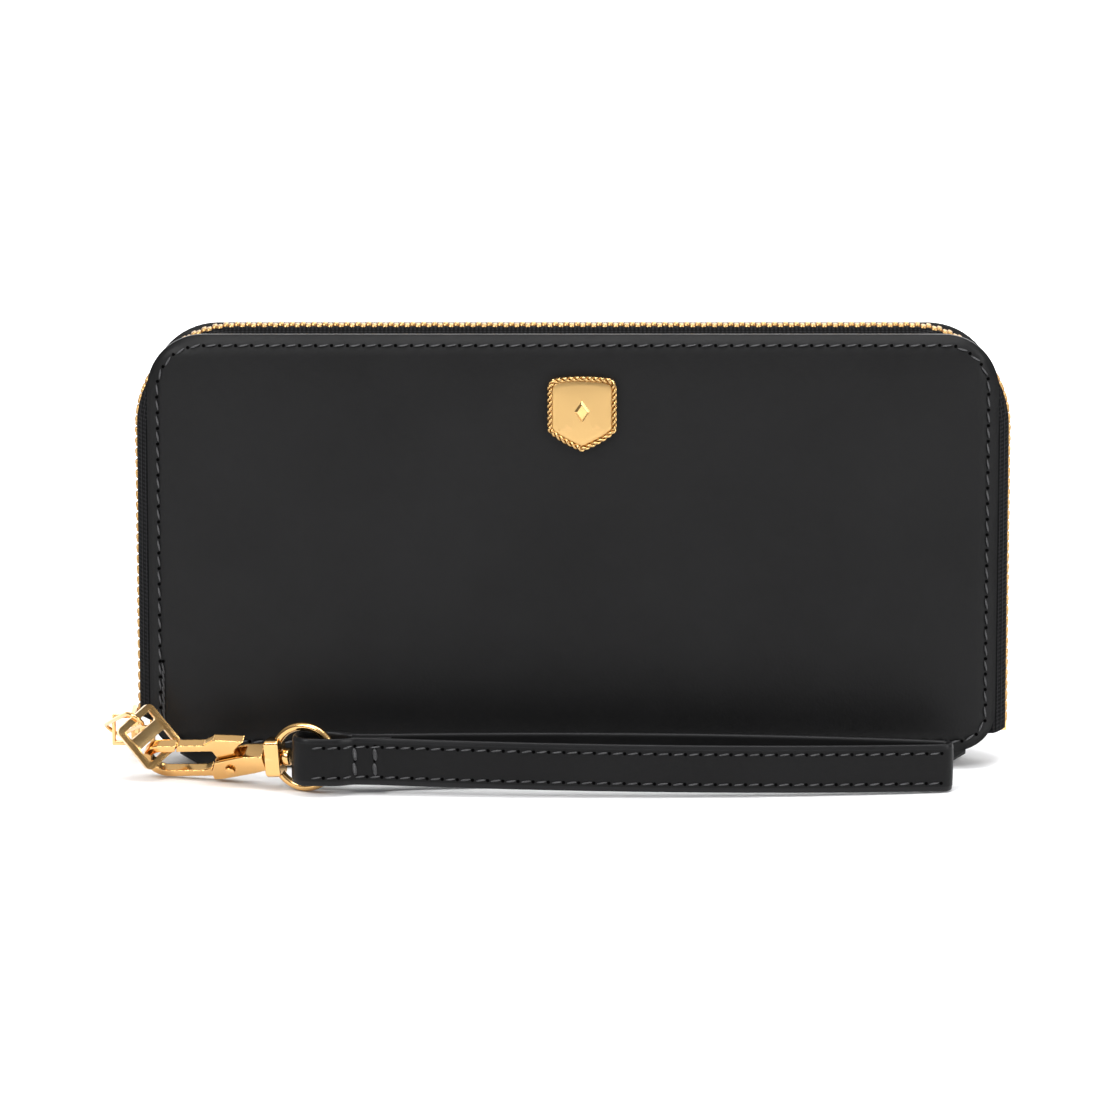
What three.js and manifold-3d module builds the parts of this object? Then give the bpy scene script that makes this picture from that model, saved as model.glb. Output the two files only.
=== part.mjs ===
import * as THREE from "three";
import { mergeVertices } from "three/addons/utils/BufferGeometryUtils.js";
import Module from "manifold-3d";

// A zip-around wallet that stands on its spine, with a wrist strap on a lobster clasp.
// Millimetres, +Z up, the front cover faces -Y. The origin is on the table under the middle of the spine.

const wasm = await Module();
wasm.setup();

// Clearances and joins
const OVERLAP = 0.1; // how far pieces that are joined into one reach into each other
const TOOL_OVERRUN = 1; // how far a cutting tool runs past the body
const TOUCH_GAP = 0.3; // between pieces that rest on each other
const RUNNING_GAP = 0.3; // between a pin and its bore, and between links of the pull

// Covers
const PANEL_WIDTH = 197.5;
const PANEL_HEIGHT = 99.2;
const PANEL_LIFT = 4.6; // the covers' lower edge over the table
const WALLET_DEPTH = 23;
const COVER_THICKNESS = 1.8;
const PANEL_TOP_RADIUS = 13;
const PANEL_BOTTOM_RADIUS = 9.5;

// Spine
const SPINE_END_MARGIN = 12.75; // how far the spine ends within the covers' sides
const SPINE_FACE_MARGIN = 2.4; // from a cover's face to the spine's side
const SPINE_FOOT_MARGIN = 4.1; // from a cover's face to the foot's edge
const SPINE_THICKNESS = 2.2;
const SPINE_CHAMFER = 1.1;

// Main zip
const ZIP_SIDE_OVERHANG = 3.3; // how far the teeth stand out past the covers
const ZIP_TOP_OVERHANG = 1;
const ZIP_RADIUS = 24;
const TEETH_THICKNESS = 2.4;
const TEETH_WIDTH = 2.3;
const CHAIN_HALF_GAP = 0.6; // half the slit that the slider's neck runs in
const TAPE_THICKNESS = 0.8;
const TAPE_DROP = 0.8; // the tape's outer face under the teeth's outer face
const TAPE_COVER_INSET = 4;
const ZIP_RIGHT_END = 10;
const ZIP_STEPS = 72;
const STOP_HEIGHT = 2.6;

// Inside
const INNER_INSET = 5.8; // the inside pieces' outline within the teeth's outline
const LINING_THICKNESS = 0.7;
const CARD_SHEET = 0.5;
const CARD_ROWS = 3;
const CARD_ROW_DROP = 25.8; // the rows' reference line under the covers' upper edge
const CARD_ROW_STEP = 15;
const CARD_BOTTOM = 7;
const CARD_SIDE_MARGIN = 3;
const CARD_TOP_RADIUS = 2;
const CARD_BOTTOM_RADIUS = 6.5;
const COIN_SIDE_MARGIN = 8.25; // the divider's side within the lining's
const COIN_HALF_DEPTH = 1.3;
const COIN_WALL = 0.5;
const COIN_BOTTOM = 6;
const COIN_DROP = 19.8; // the divider's top under the covers' upper edge
const COIN_ZIP_HEIGHT = 3.2;
const COIN_ZIP_DEPTH = 1.2;
const COIN_ZIP_MARGIN = 8;
const COIN_TOP_RADIUS = 3;
const COIN_BOTTOM_RADIUS = 5;
const COIN_SLIDER_LENGTH = 5;
const COIN_SLIDER_HEIGHT = 4.2;
const COIN_SLIDER_DEPTH = 3.4;
const COIN_SLIDER_RISE = 0.5; // how far it sits over the middle of its teeth
const COIN_PULL_LENGTH = 11;
const COIN_PULL_WIDTH = 3.4;
const COIN_PULL_THICKNESS = 0.9;
const COIN_PULL_CORNER = 1.2;

// Slider
const SLIDER_BOTTOM = 2.5;
const SLIDER_HEIGHT = 10;
const SLIDER_HALF_WIDTH = 4.3;
const SLIDER_PLATE = 1.2;
const SLIDER_PLAY = 0.4; // between a slider plate and the teeth
const SLIDER_NECK_HALF = 0.3;
const SLIDER_NECK_HEIGHT = 2.6;
const SLIDER_NECK_RISE = 1; // the neck's lower end over the slider's
const CROWN_BAR = 0.9;
const CROWN_OPENING = 3.75;
const CROWN_HALF_WIDTH = 0.7;
const CROWN_HEIGHT = 7.6;
const CROWN_LEG = 1.1;

// Pull link and pull tab
const LINK_WIRE_RADIUS = 0.5;
const LINK_BEND_RADIUS = 2.25;
const LINK_LEAN = -38; // degrees, the link's turn about its own length
const TAB_LENGTH = 12.4;
const TAB_WIDTH = 10.6;
const TAB_THICKNESS = 1.7;
const TAB_BAR = 1.5;
const TAB_SIDE_BAR = 1.5;
const TAB_LOWER_SLOT = 3.9;
const TAB_UPPER_SLOT = 2.5;
const TAB_CORNER = 1.4;
const TAB_SEAT_ANGLE = 100; // degrees round the claw from the clasp's X, where the tab's bar lies
const TAB_SEAT_PLAY = 1;
const TAB_ACROSS = [0.72, 0.4, 0.57]; // where the tab's bars point
const TAB_UP = [-0.57, 0.02, 0.82]; // roughly where the tab's upper bar lies from its lower one
const TAB_SLOT_CORNER = 0.5;

// Lobster clasp: X runs along it towards the ring, from the middle of the ring's block
const CLASP_YAW = -18; // degrees
const CLASP_PITCH = -5;
const CLASP_ROLL = 35;
const HOOK_LENGTH = 32.4;
const HOOK_HALF_HEIGHT = 5.2;
const HOOK_BAND = 2;
const HOOK_THICKNESS = 4.6;
const CLAW_THICKNESS = 2.4;
const GATE_THICKNESS = 2.3;
const GATE_BAND = 2;
const GATE_JOINT = -22.6; // where the gate's tip meets the claw
const RIVET_X = -11.1;
const RIVET_Z = -1.8;
const RIVET_RADIUS = 0.8;
const RIVET_HEAD_RADIUS = 1.15;
const RIVET_HEAD_HEIGHT = 0.5;
const GATE_LUG_RADIUS = 2.1;
const NECK_HALF_HEIGHT = 2.3;
const JOINT_SLANT = 0.9; // how far the gate's tip and the claw's tip lean
const CHEEK_REACH = 4; // how far past the rivet the hook's thick cheeks rise
const BELLY_REACH = 3; // where the hook's underside starts to narrow to the neck
const MOUTH_STEP = [[-3.4, 0.4], [-4.6, -2.3], [-7, -3.2]]; // the mouth's floor, from the rivet's X
const THUMB_HEIGHT = 1.8; // the thumb lever's rise over the hook
const THUMB_TIP = [[3.9, 0.1], [5.4, 1.2]]; // its tip, from the rivet's X and the hook's top
const THUMB_ROOT = [-2, -5]; // where its slope ends, from the rivet's X
const GATE_SLOT_REACH = 4.4; // the slot's end past the rivet
const SPRING_LENGTH = 1.6;
const SPRING_HEIGHT = 1;
const SPRING_PLAY = 0.2; // between the spring and the sides of the slot

// Swivel and ring
const BLOCK_LENGTH = 3.8;
const BLOCK_HEIGHT = 8.8;
const BLOCK_DEPTH = 5.2;
const SWIVEL_PIN_RADIUS = 1.05;
const SWIVEL_HEAD_RADIUS = 2.1;
const SWIVEL_HEAD_LENGTH = 1.8;
const SWIVEL_PIN_SEAT = 4; // how far the pin reaches into the hook's neck
const RING_RADIUS = 7.2;
const RING_WIRE_RADIUS = 1;
const RING_FROM_CROWN = 45.65; // the ring's middle from the crown's, along the wallet
const RING_FRONT = 18; // the ring's middle in front of the front cover
const RING_TABLE_GAP = 0.1; // the ring's lowest point over the table

// Wrist strap: X runs along it, from the ring's wire in its fold
const STRAP_WIDTH = 11.1;
const STRAP_LEATHER = 1.5;
const STRAP_FOLD_REACH = 9.7; // the fold's end past the ring's wire
const STRAP_FOLD_HALF_GAP = 2.9;
const STRAP_SEWN_START = 1.5;
const STRAP_SEWN_END = 9;
const STRAP_LENGTH = 145;
const STRAP_LOOP_HALF = 6.4;
const STRAP_BOW_PLACE = 0.55; // where the loop is widest, as a part of its length
const STRAP_END_HALF = 2.6;
const STRAP_END_LENGTH = 4; // how far from its end the loop starts to close
const STRAP_SEWN_HALF = 2.55; // half the thickness where the layers are sewn together
const STRAP_TAPER = 3; // how far the fold takes to come down to that
const STRAP_DROOP = 0.92; // degrees down towards the free end
const STRAP_TURN = 1; // degrees towards the wallet

// Badge on the front cover
const BADGE_X = 2.1;
const BADGE_DROP = 18.2; // its middle under the covers' upper edge
const BADGE_WIDTH = 16.4;
const BADGE_HEIGHT = 18.2;
const BADGE_FRAME = 1.3; // the rope's width
const BADGE_FRAME_DEPTH = 1.7;
const BADGE_PLATE_DEPTH = 1.1;
const BADGE_SEAT_GAP = 0.5;
const BADGE_SHOULDER = 0.2; // how far under its middle the sides end, as a part of its height
const BADGE_TOP_CORNER = 1.3;
const BADGE_TOP_SWELL = 0.5; // how far the top edge bows
const BADGE_TIP_BOW = 2.4;

// Smoothness
const ROUND_SIDES = 20; // sides of a plain rod
const FINE_SIDES = 32; // sides of the swivel's head and bores
const WIRE_SIDES = 12;
const CORNER_STEPS = 8;
const CLAW_STEPS = 18;
const LINK_STEPS = 32;
const RING_STEPS = 56;
const STRAP_STEPS = 14;

// Finishes
const leather = () => new THREE.MeshStandardMaterial({ color: 0x2b2b2c, roughness: 0.5, metalness: 0 });
const lining = () => new THREE.MeshStandardMaterial({ color: 0x37363a, roughness: 0.8, metalness: 0 });
const cloth = () => new THREE.MeshStandardMaterial({ color: 0x2a2a2b, roughness: 0.9, metalness: 0 });
const gold = () => new THREE.MeshStandardMaterial({ color: 0xe6bf7c, roughness: 0.22, metalness: 1 });

// Worked out from the dimensions above
const halfDepth = WALLET_DEPTH / 2;
const coverInside = halfDepth - COVER_THICKNESS;
const panelTop = PANEL_LIFT + PANEL_HEIGHT;
const zipHalfWidth = PANEL_WIDTH / 2 + ZIP_SIDE_OVERHANG;
const zipTop = panelTop + ZIP_TOP_OVERHANG;
const sliderTop = SLIDER_BOTTOM + SLIDER_HEIGHT;
const zipLeftEnd = sliderTop + 2 * TOUCH_GAP;
const teethInside = CHAIN_HALF_GAP + TEETH_WIDTH;
const innerHalfWidth = zipHalfWidth - INNER_INSET;
const innerTop = zipTop - INNER_INSET;
const innerRadius = ZIP_RADIUS - INNER_INSET;
const liningOutside = coverInside - TOUCH_GAP;
const liningInside = liningOutside - LINING_THICKNESS;
const cardOutside = liningInside - TOUCH_GAP;
const crownBarX = -(zipHalfWidth + SLIDER_PLAY + SLIDER_PLATE + CROWN_OPENING + CROWN_BAR / 2);
const crownMiddle = new THREE.Vector3(crownBarX, 0, SLIDER_BOTTOM + SLIDER_HEIGHT / 2);
const ringCentre = new THREE.Vector3(
  crownBarX + RING_FROM_CROWN,
  -halfDepth - RING_FRONT,
  RING_RADIUS + RING_WIRE_RADIUS + RING_TABLE_GAP,
);
const spineLength = PANEL_WIDTH - 2 * SPINE_END_MARGIN;
const spineHalfDepth = halfDepth - SPINE_FACE_MARGIN;
const spineFootHalfDepth = halfDepth - SPINE_FOOT_MARGIN;
const cardRowTop = panelTop - CARD_ROW_DROP;
const coinHalfWidth = innerHalfWidth - COIN_SIDE_MARGIN;
const coinTop = panelTop - COIN_DROP;

// Makes a manifold-3d solid of a closed three.js geometry.
function toSolid(geometry) {
  const bare = geometry.index ? geometry.toNonIndexed() : geometry.clone();
  bare.deleteAttribute("normal");
  bare.deleteAttribute("uv");
  const merged = mergeVertices(bare, 1e-4);
  const vertProperties = new Float32Array(merged.attributes.position.array);
  const triVerts = new Uint32Array(merged.index.array);
  return new wasm.Manifold(new wasm.Mesh({ numProp: 3, vertProperties, triVerts }));
}

// Turns a manifold-3d solid back into a three.js geometry.
function toGeometry(solid) {
  const { vertProperties, triVerts } = solid.getMesh();
  const geometry = new THREE.BufferGeometry();
  geometry.setAttribute("position", new THREE.BufferAttribute(new Float32Array(vertProperties), 3));
  geometry.setIndex(new THREE.BufferAttribute(new Uint32Array(triVerts), 1));
  geometry.computeVertexNormals();
  return geometry;
}

// Cuts the tools out of a body.
function cut(body, ...tools) {
  return toGeometry(tools.reduce((solid, tool) => solid.subtract(toSolid(tool)), toSolid(body)));
}

// Joins pieces that overlap into one.
function join(...pieces) {
  return toGeometry(pieces.map(toSolid).reduce((whole, piece) => whole.add(piece)));
}

// Names a piece and gives it its finish.
function piece(name, geometry, material) {
  const mesh = new THREE.Mesh(geometry, material);
  mesh.name = name;
  return mesh;
}

// A box between two corners.
function boxBetween(x0, x1, y0, y1, z0, z1) {
  const box = new THREE.BoxGeometry(x1 - x0, y1 - y0, z1 - z0);
  return box.translate((x0 + x1) / 2, (y0 + y1) / 2, (z0 + z1) / 2);
}

// A flat plate whose outline is drawn in X and Z and whose faces are at two values of Y.
function plate(outline, y0, y1, curveSegments = CORNER_STEPS) {
  const options = { depth: y1 - y0, bevelEnabled: false, curveSegments };
  return new THREE.ExtrudeGeometry(outline, options).rotateX(Math.PI / 2).translate(0, y1, 0);
}

// A rod along Y.
function rodAlongY(radius, y0, y1, x, z, sides = ROUND_SIDES) {
  return new THREE.CylinderGeometry(radius, radius, y1 - y0, sides).translate(x, (y0 + y1) / 2, z);
}

// A rod along X.
function rodAlongX(radius, x0, x1, sides = ROUND_SIDES) {
  return new THREE.CylinderGeometry(radius, radius, x1 - x0, sides)
    .rotateZ(Math.PI / 2)
    .translate((x0 + x1) / 2, 0, 0);
}

// A panel's outline with its own radius at the top and at the bottom corners.
function panelOutline(halfWidth, bottom, top, topRadius, bottomRadius) {
  const outline = new THREE.Shape();
  outline.moveTo(-halfWidth + bottomRadius, bottom);
  outline.lineTo(halfWidth - bottomRadius, bottom);
  outline.absarc(halfWidth - bottomRadius, bottom + bottomRadius, bottomRadius, -Math.PI / 2, 0, false);
  outline.lineTo(halfWidth, top - topRadius);
  outline.absarc(halfWidth - topRadius, top - topRadius, topRadius, 0, Math.PI / 2, false);
  outline.lineTo(-halfWidth + topRadius, top);
  outline.absarc(-halfWidth + topRadius, top - topRadius, topRadius, Math.PI / 2, Math.PI, false);
  outline.lineTo(-halfWidth, bottom + bottomRadius);
  outline.absarc(
    -halfWidth + bottomRadius, bottom + bottomRadius, bottomRadius, Math.PI, 1.5 * Math.PI, false);
  return outline;
}

// A rectangle with one radius at all corners.
function roundedRectangle(x0, x1, y0, y1, radius) {
  const outline = new THREE.Shape();
  outline.moveTo(x0 + radius, y0);
  outline.lineTo(x1 - radius, y0);
  outline.absarc(x1 - radius, y0 + radius, radius, -Math.PI / 2, 0, false);
  outline.lineTo(x1, y1 - radius);
  outline.absarc(x1 - radius, y1 - radius, radius, 0, Math.PI / 2, false);
  outline.lineTo(x0 + radius, y1);
  outline.absarc(x0 + radius, y1 - radius, radius, Math.PI / 2, Math.PI, false);
  outline.lineTo(x0, y0 + radius);
  outline.absarc(x0 + radius, y0 + radius, radius, Math.PI, 1.5 * Math.PI, false);
  return outline;
}

// The line that the teeth's outer face follows, up one side, over the top and down the other.
class ZipLine extends THREE.Curve {
  constructor() {
    super();
    this.path = new THREE.Path();
    this.path.moveTo(-zipHalfWidth, zipLeftEnd);
    this.path.lineTo(-zipHalfWidth, zipTop - ZIP_RADIUS);
    this.path.absarc(-zipHalfWidth + ZIP_RADIUS, zipTop - ZIP_RADIUS, ZIP_RADIUS, Math.PI, Math.PI / 2, true);
    this.path.lineTo(zipHalfWidth - ZIP_RADIUS, zipTop);
    this.path.absarc(zipHalfWidth - ZIP_RADIUS, zipTop - ZIP_RADIUS, ZIP_RADIUS, Math.PI / 2, 0, true);
    this.path.lineTo(zipHalfWidth, ZIP_RIGHT_END);
  }

  getPoint(t, target = new THREE.Vector3()) {
    const { x, y } = this.path.getPoint(t);
    return target.set(x, 0, y);
  }
}

// A band along the zip line. Its section's points are [distance from the middle, inset].
// The side is -1 for the front half and 1 for the back half.
function zipBand(side, section) {
  const outline = new THREE.Shape(section.map(([away, inset]) => new THREE.Vector2(-side * away, inset)));
  const options = { steps: ZIP_STEPS, extrudePath: new ZipLine(), bevelEnabled: false };
  return new THREE.ExtrudeGeometry(outline, options);
}

// The pieces of one half: cover, lining, zip tape, teeth, and the card pockets inside.
function walletHalf(name, side) {
  const half = new THREE.Group();
  const layer = (outline, outside, inside) =>
    plate(outline, ...[side * outside, side * inside].sort((a, b) => a - b));

  const cover = panelOutline(
    PANEL_WIDTH / 2, PANEL_LIFT, panelTop, PANEL_TOP_RADIUS, PANEL_BOTTOM_RADIUS);
  half.add(piece(name + "_cover", layer(cover, halfDepth, coverInside), leather()));

  const innerBottom = PANEL_LIFT + LINING_THICKNESS;
  const inner = panelOutline(
    innerHalfWidth, innerBottom, innerTop, innerRadius, PANEL_BOTTOM_RADIUS);
  half.add(piece(name + "_lining", layer(inner, liningOutside, liningInside), lining()));

  const slope = (TAPE_COVER_INSET - TAPE_DROP) / (liningOutside - teethInside);
  const tapeStart = teethInside + TOUCH_GAP;
  const startInset = TAPE_DROP + slope * TOUCH_GAP;
  half.add(piece(name + "_zip_tape", zipBand(side, [
    [tapeStart, startInset],
    [liningOutside, TAPE_COVER_INSET],
    [liningOutside, TAPE_COVER_INSET + TAPE_THICKNESS],
    [tapeStart, startInset + TAPE_THICKNESS],
  ]), cloth()));
  half.add(piece(name + "_zip_teeth", zipBand(side, [
    [CHAIN_HALF_GAP, 0],
    [teethInside, 0],
    [teethInside, TEETH_THICKNESS],
    [CHAIN_HALF_GAP, TEETH_THICKNESS],
  ]), gold()));

  const cardHalfWidth = innerHalfWidth - CARD_SIDE_MARGIN;
  for (let row = 0; row <= CARD_ROWS; row += 1) {
    const outside = cardOutside - row * (CARD_SHEET + TOUCH_GAP);
    const top = row === 0 ? cardRowTop + CARD_ROW_STEP / 2 : cardRowTop - row * CARD_ROW_STEP;
    const outline = panelOutline(cardHalfWidth, CARD_BOTTOM, top, CARD_TOP_RADIUS, CARD_BOTTOM_RADIUS);
    const title = row === 0 ? "_card_panel" : "_card_row_" + row;
    half.add(piece(name + title, layer(outline, outside, outside - CARD_SHEET), lining()));
  }
  return half;
}

// The spine that the wallet stands on, and the stops at the zip's ends.
function spine() {
  const section = new THREE.Shape();
  section.moveTo(-spineFootHalfDepth, 0);
  section.lineTo(spineFootHalfDepth, 0);
  section.lineTo(spineHalfDepth, SPINE_CHAMFER);
  section.lineTo(spineHalfDepth, SPINE_THICKNESS);
  section.lineTo(-spineHalfDepth, SPINE_THICKNESS);
  section.lineTo(-spineHalfDepth, SPINE_CHAMFER);
  const strip = new THREE.ExtrudeGeometry(section, { depth: spineLength, bevelEnabled: false });
  strip.rotateX(Math.PI / 2).rotateZ(Math.PI / 2).translate(-spineLength / 2, 0, 0);
  return piece("spine", strip, leather());
}

// A metal stop that closes the right end of the back teeth.
function zipStop() {
  const outer = zipHalfWidth;
  const top = ZIP_RIGHT_END - TOUCH_GAP;
  const block = boxBetween(
    outer - TEETH_THICKNESS, outer, CHAIN_HALF_GAP, teethInside, top - STOP_HEIGHT, top);
  return piece("zip_stop", block, gold());
}

// The divider with its zipped coin pocket.
function coinPocket() {
  const pocket = new THREE.Group();
  const inside = COIN_HALF_DEPTH - COIN_WALL;
  const outline = () => panelOutline(
    coinHalfWidth, COIN_BOTTOM, coinTop, COIN_TOP_RADIUS, COIN_BOTTOM_RADIUS);
  pocket.add(piece("coin_front_wall", plate(outline(), -COIN_HALF_DEPTH, -inside), lining()));
  pocket.add(piece("coin_back_wall", plate(outline(), inside, COIN_HALF_DEPTH), lining()));

  const zipBottom = coinTop + TOUCH_GAP;
  const zipHalf = coinHalfWidth - COIN_ZIP_MARGIN;
  const half = COIN_ZIP_DEPTH / 2;
  const teeth = boxBetween(-zipHalf, zipHalf, -half, half, zipBottom, zipBottom + COIN_ZIP_HEIGHT);
  pocket.add(piece("coin_zip", teeth, gold()));

  const sliderX = -zipHalf + COIN_SLIDER_LENGTH;
  const bottom = zipBottom + (COIN_ZIP_HEIGHT - COIN_SLIDER_HEIGHT) / 2 + COIN_SLIDER_RISE;
  const slider = boxBetween(
    sliderX, sliderX + COIN_SLIDER_LENGTH, -COIN_SLIDER_DEPTH / 2, COIN_SLIDER_DEPTH / 2,
    bottom, bottom + COIN_SLIDER_HEIGHT);
  const way = boxBetween(
    sliderX - TOOL_OVERRUN, sliderX + COIN_SLIDER_LENGTH + TOOL_OVERRUN, -half - TOUCH_GAP,
    half + TOUCH_GAP, bottom - TOOL_OVERRUN, zipBottom + COIN_ZIP_HEIGHT + TOUCH_GAP);
  pocket.add(piece("coin_slider", cut(slider, way), gold()));

  const pullFront = -COIN_SLIDER_DEPTH / 2 - TOUCH_GAP;
  const pullX = sliderX + COIN_SLIDER_LENGTH / 2;
  const pullOutline = roundedRectangle(
    pullX, pullX + COIN_PULL_LENGTH, bottom, bottom + COIN_PULL_WIDTH, COIN_PULL_CORNER);
  const pull = plate(pullOutline, pullFront - COIN_PULL_THICKNESS, pullFront, 4);
  pocket.add(piece("coin_pull", pull, gold()));
  return pocket;
}

// The main slider: two plates joined by a neck in the slit between the teeth, and its crown.
function mainSlider() {
  const outerFace = -(zipHalfWidth + SLIDER_PLAY);
  const innerFace = -(zipHalfWidth - TEETH_THICKNESS - SLIDER_PLAY);
  const w = SLIDER_HALF_WIDTH;
  const outer = boxBetween(outerFace - SLIDER_PLATE, outerFace, -w, w, SLIDER_BOTTOM, sliderTop);
  const inner = boxBetween(innerFace, innerFace + SLIDER_PLATE, -w, w, SLIDER_BOTTOM, sliderTop);
  const neck = boxBetween(
    outerFace - SLIDER_PLATE / 2, innerFace + SLIDER_PLATE / 2, -SLIDER_NECK_HALF, SLIDER_NECK_HALF,
    SLIDER_BOTTOM + SLIDER_NECK_RISE, SLIDER_BOTTOM + SLIDER_NECK_RISE + SLIDER_NECK_HEIGHT);
  const slider = new THREE.Group();
  slider.add(piece("slider_body", join(outer, inner, neck), gold()));

  const foot = outerFace - SLIDER_PLATE - TOUCH_GAP;
  const z0 = crownMiddle.z - CROWN_HEIGHT / 2;
  const z1 = crownMiddle.z + CROWN_HEIGHT / 2;
  const tip = crownBarX - CROWN_BAR / 2;
  const arch = boxBetween(tip, foot, -CROWN_HALF_WIDTH, CROWN_HALF_WIDTH, z0, z1);
  const mouth = boxBetween(
    tip + CROWN_BAR, foot + TOOL_OVERRUN, -CROWN_HALF_WIDTH - TOOL_OVERRUN,
    CROWN_HALF_WIDTH + TOOL_OVERRUN, z0 + CROWN_LEG, z1 - CROWN_LEG);
  slider.add(piece("slider_crown", cut(arch, mouth), gold()));
  return slider;
}

// The clasp's frame in the wallet's: where its X, Y and Z point, from the middle of the ring's block.
const claspTurn = new THREE.Quaternion().setFromEuler(
  new THREE.Euler(...[CLASP_ROLL, CLASP_PITCH, CLASP_YAW].map(THREE.MathUtils.degToRad), "ZYX"));
const ringTurn = new THREE.Quaternion().setFromEuler(
  new THREE.Euler(...[0, CLASP_PITCH, CLASP_YAW].map(THREE.MathUtils.degToRad), "ZYX"));
const claspAlong = new THREE.Vector3(1, 0, 0).applyQuaternion(claspTurn);
const blockCentre = ringCentre.clone().addScaledVector(claspAlong, -RING_RADIUS);
const atClasp = (x, y, z) => new THREE.Vector3(x, y, z).applyQuaternion(claspTurn).add(blockCentre);

// The tab's frame: X along its bars, Y from the lower bar to the upper one, from the lower bar's middle.
const seatAngle = THREE.MathUtils.degToRad(TAB_SEAT_ANGLE);
const seatRadius = HOOK_HALF_HEIGHT - HOOK_BAND - RUNNING_GAP - TAB_BAR / 2 - TAB_SEAT_PLAY;
const tabBarInHook = atClasp(
  -HOOK_LENGTH + HOOK_HALF_HEIGHT + seatRadius * Math.cos(seatAngle), 0, seatRadius * Math.sin(seatAngle));
const tabAcross = new THREE.Vector3(...TAB_ACROSS).normalize();
const tabUp = new THREE.Vector3(...TAB_UP);
tabUp.addScaledVector(tabAcross, -tabUp.dot(tabAcross)).normalize();
const tabFace = new THREE.Vector3().crossVectors(tabAcross, tabUp);
const tabTurn = new THREE.Matrix4().makeBasis(tabAcross, tabUp, tabFace);
const upperBar = tabBarInHook.clone().addScaledVector(tabUp, TAB_LENGTH - TAB_BAR);

// The oval wire link from the slider's crown to the tab's upper bar.
function pullLink() {
  const span = upperBar.clone().sub(crownMiddle);
  const along = span.clone().normalize();
  const ring = new THREE.TorusGeometry(LINK_BEND_RADIUS, LINK_WIRE_RADIUS, WIRE_SIDES, LINK_STEPS);
  const position = ring.attributes.position;
  for (let i = 0; i < position.count; i += 1) {
    position.setX(i, position.getX(i) + (Math.sign(position.getX(i)) * span.length()) / 2);
  }
  const upright = new THREE.Vector3(0, 0, 1).addScaledVector(along, -along.z).normalize();
  const axis = upright.applyAxisAngle(along, THREE.MathUtils.degToRad(LINK_LEAN));
  const across = new THREE.Vector3().crossVectors(axis, along);
  const link = piece("pull_link", ring, gold());
  link.quaternion.setFromRotationMatrix(new THREE.Matrix4().makeBasis(along, across, axis));
  link.position.copy(crownMiddle).addScaledVector(span, 0.5);
  return link;
}

// The square tab with a slot along each of two sides.
function pullTab() {
  const halfWidth = TAB_WIDTH / 2;
  const bottom = -TAB_BAR / 2;
  const top = bottom + TAB_LENGTH;
  const outline = roundedRectangle(-halfWidth, halfWidth, bottom, top, TAB_CORNER);
  const slotHalf = halfWidth - TAB_SIDE_BAR;
  const lowerTop = bottom + TAB_BAR + TAB_LOWER_SLOT;
  outline.holes.push(roundedRectangle(-slotHalf, slotHalf, bottom + TAB_BAR, lowerTop, TAB_SLOT_CORNER));
  const upperBottom = top - TAB_BAR - TAB_UPPER_SLOT;
  outline.holes.push(
    roundedRectangle(-slotHalf, slotHalf, upperBottom, top - TAB_BAR, TAB_SLOT_CORNER));
  const sheet = new THREE.ExtrudeGeometry(
    outline, { depth: TAB_THICKNESS, bevelEnabled: false, curveSegments: CORNER_STEPS });
  const tab = piece("pull_tab", sheet.translate(0, 0, -TAB_THICKNESS / 2), gold());
  tab.quaternion.setFromRotationMatrix(tabTurn);
  tab.position.copy(tabBarInHook);
  return tab;
}

// The hook's outline as drawn from the neck round the claw to the gate's joint.
function hookOutline() {
  const left = -HOOK_LENGTH;
  const h = HOOK_HALF_HEIGHT;
  const neck = -BLOCK_LENGTH / 2 - RUNNING_GAP;
  const inner = h - HOOK_BAND;
  const joint = GATE_JOINT - RUNNING_GAP;
  const outline = new THREE.Shape();
  outline.moveTo(neck, -NECK_HALF_HEIGHT);
  outline.lineTo(neck, NECK_HALF_HEIGHT);
  outline.lineTo(RIVET_X + CHEEK_REACH, NECK_HALF_HEIGHT);
  MOUTH_STEP.forEach(([x, z]) => outline.lineTo(RIVET_X + x, z));
  outline.lineTo(left + h, -inner);
  outline.absarc(left + h, 0, inner, -Math.PI / 2, -1.5 * Math.PI, true);
  outline.lineTo(joint - JOINT_SLANT, inner);
  outline.lineTo(joint, h);
  outline.lineTo(left + h, h);
  outline.absarc(left + h, 0, h, Math.PI / 2, 1.5 * Math.PI, false);
  outline.lineTo(RIVET_X - BELLY_REACH, -h);
  outline.lineTo(neck - BELLY_REACH, -NECK_HALF_HEIGHT - JOINT_SLANT);
  return outline;
}

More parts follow.
